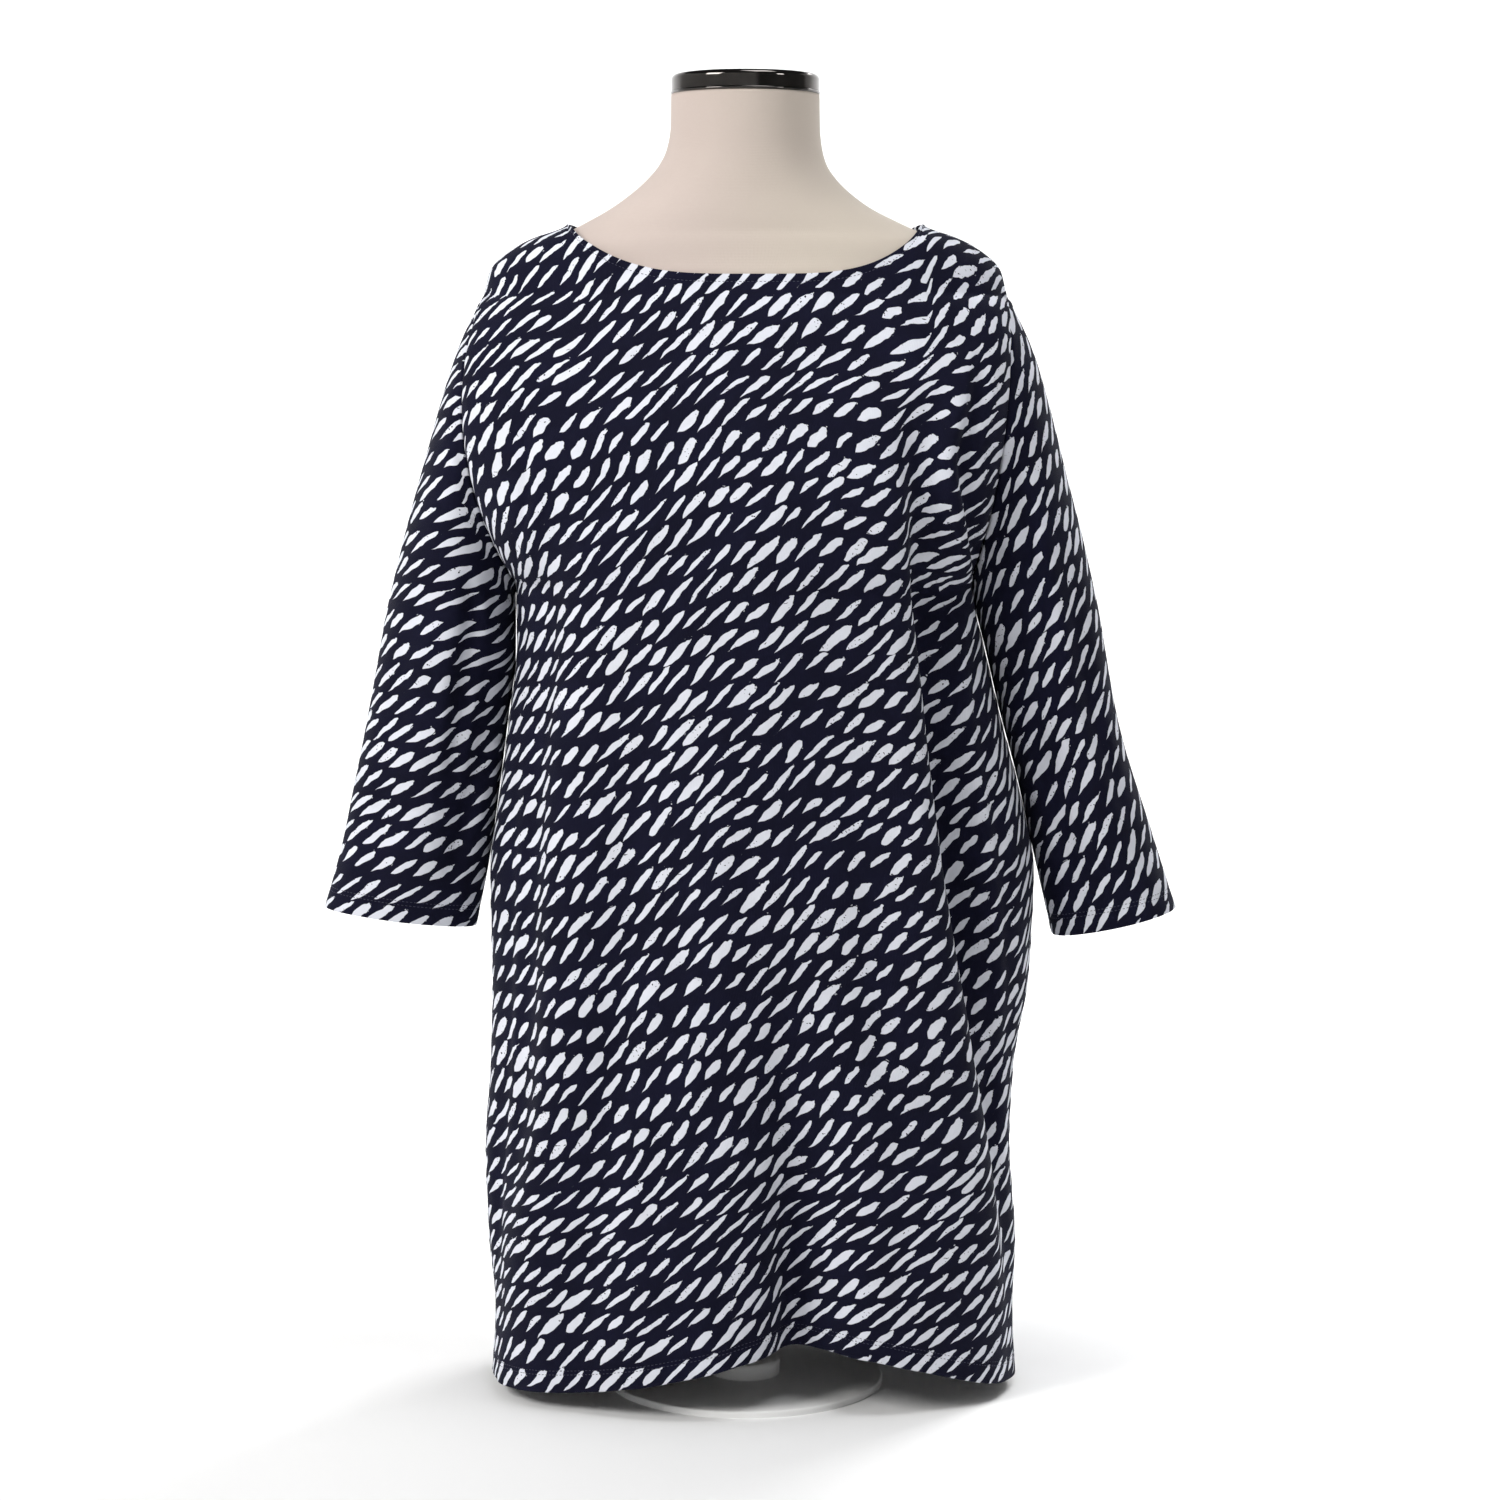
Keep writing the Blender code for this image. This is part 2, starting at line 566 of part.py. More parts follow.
def make_tunic():
    jersey = principled("navy_jersey", (0.016, 0.018, 0.055), 0.85)
    panel("tunic_front", -1.0, column_turns(FRONT_COLUMNS_AT_NECK, FRONT_COLUMNS_AT_SHOULDER), jersey)
    panel("tunic_back", 1.0, column_turns(BACK_COLUMNS_AT_NECK, BACK_COLUMNS_AT_SHOULDER), jersey)
    sleeve("sleeve_right", "right", jersey)
    sleeve("sleeve_left", "left", jersey)


def make_form():
    fabric = principled("form_fabric", (0.72, 0.66, 0.60), 0.9)
    chrome = principled("dark_chrome", (0.32, 0.31, 0.31), 0.12, 1.0)
    coated = principled("white_steel", (0.85, 0.85, 0.84), 0.45)
    form_torso("form_torso", fabric)
    lip = [(CAP_RADIUS - CAP_LIP, 0.0), (CAP_RADIUS, CAP_LIP)]
    rim = rounded_edge(CAP_RADIUS, CAP_HEIGHT - CAP_DOME, CAP_EDGE, 4)
    crown = [(CAP_RADIUS / 2, CAP_HEIGHT)]
    turned("neck_cap", lip + rim + crown, FORM[-1].z + SEAM_GAP, chrome)
    flange_z = FORM[0].z - SEAM_GAP - FLANGE_THICK
    turned("form_flange", [(FLANGE_RADIUS, 0.0), (FLANGE_RADIUS, FLANGE_THICK)], flange_z, coated)
    hub_z = BASE_THICK + SEAM_GAP
    pole_z = hub_z + HUB_HEIGHT + SEAM_GAP
    pole_length = flange_z - SEAM_GAP - pole_z
    turned("form_pole", [(POLE_RADIUS, 0.0), (POLE_RADIUS, pole_length)], pole_z, coated)
    turned("base_hub", [(HUB_RADIUS, 0.0)] + rounded_edge(HUB_RADIUS, HUB_HEIGHT, HUB_EDGE, 3), hub_z, coated)
    plate = [(BASE_RADIUS, 0.0)] + rounded_edge(BASE_RADIUS, BASE_THICK, BASE_EDGE, 2)
    turned("base_plate", plate, 0.0, coated)


def main():
    for old in list(bpy.data.objects):
        bpy.data.objects.remove(old, do_unlink=True)
    make_tunic()
    make_form()


main()
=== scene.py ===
"""Looks of a knitted tunic top on a limbless dress form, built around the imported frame.

Metres, +Z up. The front faces -Y. Right and left are the wearer's: the wearer's right side is
at -X. The cloth is modelled as thin sewn sheets on the forms of the CAD solids.
"""
import math
from collections import namedtuple

import bmesh
import bpy
import numpy as np
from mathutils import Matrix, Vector, noise


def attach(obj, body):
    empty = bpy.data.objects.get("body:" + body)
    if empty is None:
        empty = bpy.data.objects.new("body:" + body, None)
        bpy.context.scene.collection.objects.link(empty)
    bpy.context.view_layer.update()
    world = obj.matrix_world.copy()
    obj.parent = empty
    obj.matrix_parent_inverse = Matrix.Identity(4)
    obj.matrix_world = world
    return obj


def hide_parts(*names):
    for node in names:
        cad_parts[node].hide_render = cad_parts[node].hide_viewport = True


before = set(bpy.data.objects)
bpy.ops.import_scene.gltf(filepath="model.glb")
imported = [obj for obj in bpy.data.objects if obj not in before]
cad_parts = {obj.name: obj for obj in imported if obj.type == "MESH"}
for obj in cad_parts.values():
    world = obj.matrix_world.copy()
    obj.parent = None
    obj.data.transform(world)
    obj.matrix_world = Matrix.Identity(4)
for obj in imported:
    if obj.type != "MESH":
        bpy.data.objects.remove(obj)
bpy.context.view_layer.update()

# Driving sizes of the cut
SHOULDER_TIP_X = 0.195
SHOULDER_TIP_Z = 0.826
UNDERARM_Z = 0.615
ARMHOLE_HALF_DEPTH = 0.055
ARMHOLE_BOW = {"right": 0.0225, "left": 0.0080}
OUTWARD = {"right": -1.0, "left": 1.0}
NECK_HALF_WIDTH = 0.132
FRONT_NECK_Z = 0.8405
BACK_NECK_Z = 0.8640
FRONT_NECK_CURVE = (3.3, 4.2)
BACK_NECK_CURVE = (2.2, 2.2)

# Cloth as sewn: one layer, a turned hem of two layers, and how far a seam pulls the cloth in
LAYER = 0.0010
HEM_LAYERS = 0.0021
HEM_DEPTH = 0.0185
HEM_STITCHES = (0.0132, 0.0162)
NECK_TURN = 0.0072
NECK_STITCHES = (0.0056,)
STITCH_DENT = 0.00030
STITCH_DENT_WIDTH = 0.0009
SEAM_DIP = 0.0011
SEAM_WIDTH = 0.0017
EDGE_ROUND = 0.0006
NECK_POINT_RISE = 0.0022

# How far the rows of the print keep level over a raised hem, and how far they turn on the sleeves
PRINT_LEVEL = 0.65
PRINT_TURN = {"right": -7.0, "left": 5.0}

# Stitches of the sewing thread
STITCH_PITCH = 0.0030
STITCH_LENGTH = 0.0023
THREAD_HALF_WIDTH = 0.00024
THREAD_LIFT = 0.00010

# Mesh fineness
ROW_STEP = 0.0042
TOP_CROWDING = 1.7
FRONT_COLUMNS = (40, 96)
BACK_COLUMNS = (28, 76)
SLEEVE_COLUMNS = 112
DENSE_STEPS = 500
EDGE_ROWS = (0.0, 0.0008, 0.0018, 0.0034, 0.0060)

BodySection = namedtuple("BodySection", "z right left front back square")
BODY = (
    BodySection(0.000, 0.1950, 0.2065, 0.1180, 0.1290, 0.80),
    BodySection(0.060, 0.1915, 0.2040, 0.1220, 0.1300, 0.80),
    BodySection(0.110, 0.1960, 0.2060, 0.1250, 0.1300, 0.80),
    BodySection(0.185, 0.1980, 0.2010, 0.1300, 0.1300, 0.80),
    BodySection(0.245, 0.1940, 0.2040, 0.1330, 0.1300, 0.80),
    BodySection(0.320, 0.1920, 0.2150, 0.1360, 0.1300, 0.80),
    BodySection(0.395, 0.1930, 0.2180, 0.1390, 0.1280, 0.80),
    BodySection(0.450, 0.1860, 0.2080, 0.1405, 0.1260, 0.80),
    BodySection(0.510, 0.1780, 0.1920, 0.1420, 0.1220, 0.82),
    BodySection(0.570, 0.1715, 0.1780, 0.1430, 0.1170, 0.86),
    BodySection(0.615, 0.1720, 0.1680, 0.1430, 0.1130, 0.90),
    BodySection(0.650, 0.1800, 0.1750, 0.1410, 0.1110, 0.94),
    BodySection(0.720, 0.1900, 0.1850, 0.1220, 0.1085, 1.00),
    BodySection(0.780, 0.1920, 0.1900, 0.0990, 0.1020, 1.00),
    BodySection(0.826, 0.1950, 0.1950, 0.0815, 0.0890, 1.00),
    BodySection(0.850, 0.1950, 0.1950, 0.0735, 0.0810, 1.00),
    BodySection(0.880, 0.1950, 0.1950, 0.0660, 0.0700, 1.00),
)

ShoulderPoint = namedtuple("ShoulderPoint", "x z")
SHOULDER = (
    ShoulderPoint(0.0600, 0.9330),
    ShoulderPoint(0.0740, 0.9130),
    ShoulderPoint(0.1020, 0.8915),
    ShoulderPoint(0.1320, 0.8780),
    ShoulderPoint(0.1610, 0.8680),
    ShoulderPoint(0.1830, 0.8540),
    ShoulderPoint(0.1900, 0.8455),
    ShoulderPoint(0.1950, 0.8260),
)

HemPoint = namedtuple("HemPoint", "across z")
FRONT_HEM = (
    HemPoint(-1.00, 0.0090),
    HemPoint(-0.90, 0.0110),
    HemPoint(-0.65, 0.0165),
    HemPoint(-0.40, 0.0250),
    HemPoint(-0.20, 0.0340),
    HemPoint(0.18, 0.0480),
    HemPoint(0.40, 0.0450),
    HemPoint(0.60, 0.0350),
    HemPoint(0.78, 0.0230),
    HemPoint(0.92, 0.0130),
    HemPoint(1.00, 0.0090),
)
BACK_HEM = (
    HemPoint(-1.00, 0.0090),
    HemPoint(-0.40, 0.0130),
    HemPoint(0.10, 0.0160),
    HemPoint(0.55, 0.0125),
    HemPoint(1.00, 0.0090),
)

# Large folds of the body. A row gives where the crest is at one height, how
# far it stands out and how deep the trough beside it is.
FoldRow = namedtuple("FoldRow", "z x crest trough")
Fold = namedtuple("Fold", "name toward near far trough_offset trough_width rows")
FRONT_FOLDS = (
    Fold("right_ridge", -1.0, 0.030, 0.018, 0.026, 0.018, (
        FoldRow(0.040, -0.1740, 0.0028, 0.0040),
        FoldRow(0.125, -0.1650, 0.0050, 0.0065),
        FoldRow(0.225, -0.1460, 0.0065, 0.0080),
        FoldRow(0.350, -0.1390, 0.0070, 0.0090),
        FoldRow(0.500, -0.1290, 0.0065, 0.0080),
        FoldRow(0.610, -0.1190, 0.0040, 0.0050),
        FoldRow(0.700, -0.1120, 0.0000, 0.0000),
    )),
    Fold("left_ridge", 1.0, 0.034, 0.010, 0.021, 0.017, (
        FoldRow(0.060, 0.1900, 0.0020, 0.0030),
        FoldRow(0.160, 0.1810, 0.0065, 0.0110),
        FoldRow(0.270, 0.1640, 0.0100, 0.0240),
        FoldRow(0.400, 0.1420, 0.0115, 0.0305),
        FoldRow(0.540, 0.1240, 0.0110, 0.0250),
        FoldRow(0.640, 0.1130, 0.0075, 0.0155),
        FoldRow(0.760, 0.1050, 0.0000, 0.0000),
    )),
    Fold("middle_valley", 1.0, 0.022, 0.008, 0.022, 0.034, (
        FoldRow(0.020, 0.0220, 0.0070, 0.0480),
        FoldRow(0.120, 0.0190, 0.0060, 0.0360),
        FoldRow(0.240, 0.0150, 0.0030, 0.0180),
        FoldRow(0.370, 0.0120, 0.0000, 0.0000),
    )),
    Fold("soft_trough", -1.0, 0.020, 0.014, 0.014, 0.022, (
        FoldRow(0.060, -0.1080, 0.0000, 0.0030),
        FoldRow(0.140, -0.0980, 0.0010, 0.0070),
        FoldRow(0.405, -0.0680, 0.0010, 0.0060),
        FoldRow(0.610, -0.0600, 0.0000, 0.0000),
    )),
)
BACK_FOLDS = (
    Fold("right_ridge", -1.0, 0.030, 0.012, 0.022, 0.017, (
        FoldRow(0.020, -0.1500, 0.0080, 0.0150),
        FoldRow(0.250, -0.1330, 0.0090, 0.0160),
        FoldRow(0.480, -0.1200, 0.0050, 0.0100),
        FoldRow(0.660, -0.1120, 0.0000, 0.0000),
    )),
    Fold("left_ridge", 1.0, 0.030, 0.012, 0.022, 0.017, (
        FoldRow(0.020, 0.1580, 0.0080, 0.0160),
        FoldRow(0.250, 0.1420, 0.0090, 0.0180),
        FoldRow(0.480, 0.1220, 0.0060, 0.0120),
        FoldRow(0.680, 0.1120, 0.0000, 0.0000),
    )),
    Fold("middle_valley", -1.0, 0.024, 0.012, 0.022, 0.030, (
        FoldRow(0.020, -0.0120, 0.0050, 0.0220),
        FoldRow(0.220, -0.0080, 0.0030, 0.0120),
        FoldRow(0.420, 0.0000, 0.0000, 0.0000),
    )),
)
FOLD_FADE = 0.035
RIDGE_LEAVE = 0.040
TIP_CLEAR = 0.020

# Smaller creases laid on the large folds, in the same form
FRONT_CREASES = (
    Fold("right_arm_pull", -1.0, 0.009, 0.006, 0.007, 0.0045, (
        FoldRow(0.600, -0.1620, 0.0000, 0.0000),
        FoldRow(0.640, -0.1590, 0.0014, 0.0022),
        FoldRow(0.685, -0.1500, 0.0020, 0.0030),
        FoldRow(0.735, -0.1530, 0.0014, 0.0022),
        FoldRow(0.785, -0.1590, 0.0000, 0.0000),
    )),
    Fold("left_arm_drape", 1.0, 0.012, 0.005, 0.0095, 0.0065, (
        FoldRow(0.560, 0.1740, 0.0000, 0.0000),
        FoldRow(0.600, 0.1680, 0.0030, 0.0036),
        FoldRow(0.664, 0.1560, 0.0050, 0.0076),
        FoldRow(0.706, 0.1490, 0.0048, 0.0072),
        FoldRow(0.752, 0.1590, 0.0028, 0.0044),
        FoldRow(0.790, 0.1640, 0.0000, 0.0000),
    )),
    Fold("right_side_crease", -1.0, 0.006, 0.005, 0.007, 0.006, (
        FoldRow(0.060, -0.1870, 0.0000, 0.0000),
        FoldRow(0.130, -0.1810, 0.0016, 0.0026),
        FoldRow(0.260, -0.1720, 0.0018, 0.0030),
        FoldRow(0.400, -0.1660, 0.0016, 0.0024),
        FoldRow(0.520, -0.1580, 0.0000, 0.0000),
    )),
    Fold("left_side_crease", 1.0, 0.008, 0.006, 0.009, 0.007, (
        FoldRow(0.180, 0.1920, 0.0000, 0.0000),
        FoldRow(0.300, 0.1900, 0.0018, 0.0030),
        FoldRow(0.420, 0.1800, 0.0024, 0.0036),
        FoldRow(0.540, 0.1610, 0.0016, 0.0022),
        FoldRow(0.600, 0.1560, 0.0000, 0.0000),
    )),
    Fold("middle_dimple", 1.0, 0.012, 0.010, 0.012, 0.012, (
        FoldRow(0.300, -0.0060, 0.0000, 0.0000),
        FoldRow(0.400, -0.0110, 0.0006, 0.0016),
        FoldRow(0.470, -0.0120, 0.0006, 0.0014),
        FoldRow(0.560, -0.0140, 0.0000, 0.0000),
    )),
    Fold("right_hip_trough", -1.0, 0.016, 0.012, 0.014, 0.014, (
        FoldRow(0.100, -0.0520, 0.0000, 0.0000),
        FoldRow(0.200, -0.0480, 0.0010, 0.0022),
        FoldRow(0.340, -0.0360, 0.0010, 0.0020),
        FoldRow(0.480, -0.0300, 0.0000, 0.0000),
    )),
    Fold("left_hip_trough", 1.0, 0.018, 0.014, 0.016, 0.016, (
        FoldRow(0.060, 0.1040, 0.0000, 0.0000),
        FoldRow(0.160, 0.0960, 0.0012, 0.0026),
        FoldRow(0.300, 0.0800, 0.0012, 0.0026),
        FoldRow(0.460, 0.0700, 0.0000, 0.0000),
    )),
)
BACK_CREASES = (
    Fold("right_arm_pull", -1.0, 0.012, 0.006, 0.009, 0.006, (
        FoldRow(0.580, -0.1640, 0.0000, 0.0000),
        FoldRow(0.640, -0.1580, 0.0026, 0.0036),
        FoldRow(0.700, -0.1540, 0.0028, 0.0038),
        FoldRow(0.780, -0.1620, 0.0000, 0.0000),
    )),
    Fold("left_arm_pull", 1.0, 0.011, 0.006, 0.009, 0.006, (
        FoldRow(0.590, 0.1660, 0.0000, 0.0000),
        FoldRow(0.650, 0.1570, 0.0030, 0.0040),
        FoldRow(0.720, 0.1540, 0.0026, 0.0036),
        FoldRow(0.790, 0.1600, 0.0000, 0.0000),
    )),
    Fold("right_hip_trough", -1.0, 0.018, 0.013, 0.015, 0.015, (
        FoldRow(0.060, -0.0820, 0.0000, 0.0000),
        FoldRow(0.160, -0.0760, 0.0016, 0.0034),
        FoldRow(0.320, -0.0640, 0.0014, 0.0030),
        FoldRow(0.480, -0.0560, 0.0000, 0.0000),
    )),
    Fold("left_hip_trough", 1.0, 0.016, 0.012, 0.014, 0.014, (
        FoldRow(0.090, 0.0900, 0.0000, 0.0000),
        FoldRow(0.210, 0.0800, 0.0014, 0.0030),
        FoldRow(0.360, 0.0700, 0.0012, 0.0024),
        FoldRow(0.520, 0.0600, 0.0000, 0.0000),
    )),
    Fold("waist_hollow", 1.0, 0.020, 0.016, 0.000, 0.030, (
        FoldRow(0.380, 0.0120, 0.0000, 0.0000),
        FoldRow(0.470, 0.0080, 0.0000, 0.0040),
        FoldRow(0.560, 0.0040, 0.0000, 0.0040),
        FoldRow(0.660, 0.0000, 0.0000, 0.0000),
    )),
)
CREASE_FADE = 0.012

SleeveSection = namedtuple("SleeveSection", "along out_x out_z in_x in_z half_depth")
SLEEVE = {
    "right": (
        SleeveSection(0.00, SHOULDER_TIP_X, SHOULDER_TIP_Z, 0.1720, UNDERARM_Z, ARMHOLE_HALF_DEPTH),
        SleeveSection(0.06, 0.2080, 0.8020, 0.1728, 0.6030, 0.0556),
        SleeveSection(0.12, 0.2170, 0.7790, 0.1729, 0.5900, 0.0560),
        SleeveSection(0.30, 0.2436, 0.6900, 0.1733, 0.5550, 0.0555),
        SleeveSection(0.48, 0.2678, 0.6000, 0.1785, 0.5150, 0.0525),
        SleeveSection(0.68, 0.2861, 0.5090, 0.1847, 0.4680, 0.0475),
        SleeveSection(0.87, 0.3055, 0.4180, 0.1937, 0.4050, 0.0410),
        SleeveSection(1.00, 0.3190, 0.3680, 0.2040, 0.3536, 0.0350),
    ),
    "left": (
        SleeveSection(0.00, SHOULDER_TIP_X, SHOULDER_TIP_Z, 0.1680, UNDERARM_Z, ARMHOLE_HALF_DEPTH),
        SleeveSection(0.06, 0.2080, 0.8020, 0.1705, 0.6030, 0.0556),
        SleeveSection(0.12, 0.2168, 0.7790, 0.1736, 0.5900, 0.0560),
        SleeveSection(0.30, 0.2413, 0.6900, 0.1813, 0.5600, 0.0555),
        SleeveSection(0.48, 0.2640, 0.6000, 0.1906, 0.5200, 0.0530),
        SleeveSection(0.68, 0.2815, 0.5090, 0.2041, 0.4700, 0.0500),
        SleeveSection(0.87, 0.3098, 0.4180, 0.2179, 0.4100, 0.0460),
        SleeveSection(1.00, 0.3260, 0.3680, 0.2325, 0.3470, 0.0430),
    ),
}
SleeveFold = namedtuple("SleeveFold", "flank turn width start end depth")
SLEEVE_FOLDS = (
    SleeveFold("right", 128.0, 20.0, 0.20, 0.95, 0.0065),
    SleeveFold("right", 62.0, 18.0, 0.45, 1.05, 0.0040),
    SleeveFold("right", 245.0, 24.0, 0.25, 1.05, 0.0060),
    SleeveFold("left", 122.0, 22.0, 0.15, 1.05, 0.0080),
    SleeveFold("left", 58.0, 16.0, 0.25, 0.80, 0.0035),
    SleeveFold("left", 240.0, 24.0, 0.30, 1.05, 0.0060),
)
SLEEVE_FOLD_FADE = 0.20

# Smaller creases of the sleeves: from one place to another, turn and share of the length
SleeveCrease = namedtuple("SleeveCrease", "flank turn_from turn_to width start end depth")
SLEEVE_CREASES = (
    SleeveCrease("right", 118.0, 112.0, 7.0, 0.16, 0.78, 0.0032),
    SleeveCrease("right", 104.0, 100.0, 9.0, 0.22, 0.70, -0.0016),
    SleeveCrease("right", 84.0, 40.0, 10.0, 0.30, 0.70, 0.0016),
    SleeveCrease("right", 150.0, 120.0, 9.0, 0.50, 0.98, 0.0022),
    SleeveCrease("right", 262.0, 250.0, 9.0, 0.10, 0.70, 0.0030),
    SleeveCrease("right", 300.0, 322.0, 11.0, 0.30, 0.80, 0.0018),
    SleeveCrease("left", 96.0, 92.0, 8.0, 0.04, 0.58, 0.0034),
    SleeveCrease("left", 80.0, 78.0, 10.0, 0.10, 0.60, -0.0018),
    SleeveCrease("left", 132.0, 112.0, 10.0, 0.52, 0.98, 0.0026),
    SleeveCrease("left", 70.0, 44.0, 10.0, 0.40, 0.92, 0.0018),
    SleeveCrease("left", 256.0, 244.0, 9.0, 0.12, 0.74, 0.0030),
    SleeveCrease("left", 296.0, 318.0, 11.0, 0.35, 0.85, 0.0018),
)
SLEEVE_CREASE_FADE = 0.16

# Level sections of the dress form; neck and shoulders lean a little to the wearer's right
FormSection = namedtuple("FormSection", "z right left front back")
FORM = (
    FormSection(0.2600, 0.1480, 0.1480, 0.0930, 0.1050),
    FormSection(0.2640, 0.1570, 0.1570, 0.1010, 0.1130),
    FormSection(0.2740, 0.1625, 0.1625, 0.1060, 0.1180),
    FormSection(0.3100, 0.1650, 0.1650, 0.1080, 0.1200),
    FormSection(0.3700, 0.1590, 0.1590, 0.1040, 0.1140),
    FormSection(0.4300, 0.1450, 0.1450, 0.0980, 0.0990),
    FormSection(0.5000, 0.1290, 0.1290, 0.0960, 0.0860),
    FormSection(0.5500, 0.1330, 0.1330, 0.1090, 0.0870),
    FormSection(0.6000, 0.1460, 0.1460, 0.1280, 0.0930),
    FormSection(0.6400, 0.1550, 0.1550, 0.1360, 0.0980),
    FormSection(0.6800, 0.1610, 0.1610, 0.1300, 0.1010),
    FormSection(0.7200, 0.1680, 0.1680, 0.1170, 0.1020),
    FormSection(0.7600, 0.1760, 0.1760, 0.1020, 0.0990),
    FormSection(0.8000, 0.1830, 0.1830, 0.0870, 0.0920),
    FormSection(0.8260, 0.1870, 0.1870, 0.0775, 0.0850),
    FormSection(0.8420, 0.1860, 0.1860, 0.0722, 0.0795),
    FormSection(0.8500, 0.1800, 0.1800, 0.0685, 0.0760),
    FormSection(0.8588, 0.1690, 0.1690, 0.0655, 0.0715),
    FormSection(0.8662, 0.1540, 0.1530, 0.0632, 0.0680),
    FormSection(0.8728, 0.1345, 0.1320, 0.0612, 0.0640),
    FormSection(0.8815, 0.1170, 0.1125, 0.0602, 0.0630),
    FormSection(0.8905, 0.1010, 0.0945, 0.0590, 0.0610),
    FormSection(0.9010, 0.0860, 0.0795, 0.0575, 0.0590),
    FormSection(0.9120, 0.0733, 0.0680, 0.0565, 0.0575),
    FormSection(0.9230, 0.0640, 0.0605, 0.0558, 0.0565),
    FormSection(0.9350, 0.0583, 0.0570, 0.0552, 0.0558),
    FormSection(0.9500, 0.0556, 0.0554, 0.0550, 0.0552),
    FormSection(0.9745, 0.0550, 0.0550, 0.0550, 0.0550),
)
FORM_SIDES = 128
FORM_RINGS = 170
# The covered part of the form lies this far inside its solid, so that it stays clear of the cloth
FORM_CLEAR = 0.0012
FORM_COVERED_Z = 0.850

SEAM_GAP = 0.0003
CAP_RADIUS = 0.0556
CAP_HEIGHT = 0.0155
CAP_EDGE = 0.0042
CAP_DOME = 0.0010
CAP_BEAD = 0.0011
CAP_SET_IN = 0.0005
FLANGE_RADIUS = 0.0450
FLANGE_THICK = 0.0050
FLANGE_EDGE = 0.0010
POLE_RADIUS = 0.0125
HUB_RADIUS = 0.0260
HUB_HEIGHT = 0.0120
HUB_EDGE = 0.0030
BASE_RADIUS = 0.1050
BASE_THICK = 0.0050
BASE_EDGE = 0.0015
TURNED_SIDES = 144


def curve_tangents(keys, values):
    slopes = np.diff(values) / np.diff(keys)
    before, after = slopes[:-1], slopes[1:]
    turning = before * after <= 0
    inner = np.where(turning, 0.0, 2 * before * after / np.where(turning, 1.0, before + after))
    return np.concatenate((slopes[:1], inner, slopes[-1:]))


def glide(rows, key, value, at):
    """One column of a table at places along another, on a smooth curve with no overshoot."""
    keys = np.array([getattr(row, key) for row in rows])
    values = np.array([getattr(row, value) for row in rows])
    tangents = curve_tangents(keys, values)
    at = np.clip(np.asarray(at, float), keys[0], keys[-1])
    i = np.clip(np.searchsorted(keys, at, side="right") - 1, 0, len(keys) - 2)
    span = keys[i + 1] - keys[i]
    t = (at - keys[i]) / span
    return (values[i] * (1 + 2 * t) * (1 - t) ** 2 + values[i + 1] * t * t * (3 - 2 * t)
            + span * t * (1 - t) * (tangents[i] * (1 - t) - tangents[i + 1] * t))


def ramp(at, low, high):
    """0 below low, 1 above high, and a smooth step between."""
    t = np.clip((np.asarray(at, float) - low) / (high - low), 0.0, 1.0)
    return t * t * (3 - 2 * t)


def bell(distance, width):
    return np.exp(-(distance / width) ** 2)


def shoulder_z(x):
    return glide(SHOULDER, "x", "z", np.abs(x))


SHOULDER_TRACE_X = np.linspace(SHOULDER_TIP_X, SHOULDER[0].x, 3000)
SHOULDER_TRACE_Z = shoulder_z(SHOULDER_TRACE_X)


def armhole_share(z):
    middle = (SHOULDER_TIP_Z + UNDERARM_Z) / 2
    half = (SHOULDER_TIP_Z - UNDERARM_Z) / 2
    return np.maximum(0.0, 1 - ((z - middle) / half) ** 2)


def side_reach(z, flank):
    """Where the panel's side edge is: side seam, then armhole, then the shoulder's tip."""
    underarm_x = SLEEVE[flank][0].in_x
    rise = (z - UNDERARM_Z) / (SHOULDER_TIP_Z - UNDERARM_Z)
    armhole = underarm_x + (SHOULDER_TIP_X - underarm_x) * rise + ARMHOLE_BOW[flank] * armhole_share(z)
    return np.where(z >= SHOULDER_TIP_Z, SHOULDER_TIP_X,
                    np.where(z <= UNDERARM_Z, glide(BODY, "z", flank, z), armhole))


def reach_at(z, across):
    return np.where(across < 0, side_reach(z, "right"), side_reach(z, "left"))


def top_edge(x, centre_z, curve):
    """Neckline between the neck points, shoulder seam outside them."""
    power = np.where(x < 0, curve[0], curve[1])
    rise = shoulder_z(NECK_HALF_WIDTH) - centre_z
    share = np.minimum(np.abs(x) / NECK_HALF_WIDTH, 1.0)
    return np.where(np.abs(x) >= NECK_HALF_WIDTH, shoulder_z(x), centre_z + rise * share ** power)


def fold_push(folds, x, z):
    """How far the folds move the cloth outward."""
    push = 0.0
    for fold in folds:
        offset = (x - glide(fold.rows, "z", "x", z)) * fold.toward
        width = np.where(offset < 0, fold.near, fold.far)
        push = push + glide(fold.rows, "z", "crest", z) * bell(offset, width)
        push = push - glide(fold.rows, "z", "trough", z) * bell(offset - fold.trough_offset, fold.trough_width)
    return push


def ridge_turn(folds, name, z, reach):
    rows = next(fold.rows for fold in folds if fold.name == name)
    crest = np.arcsin(glide(rows, "z", "x", z) / reach)
    neck = math.copysign(math.asin(NECK_HALF_WIDTH / SHOULDER_TIP_X), rows[0].x)
    return crest + (neck - crest) * ramp(z, rows[-1].z - RIDGE_LEAVE, SHOULDER_TIP_Z - TIP_CLEAR)


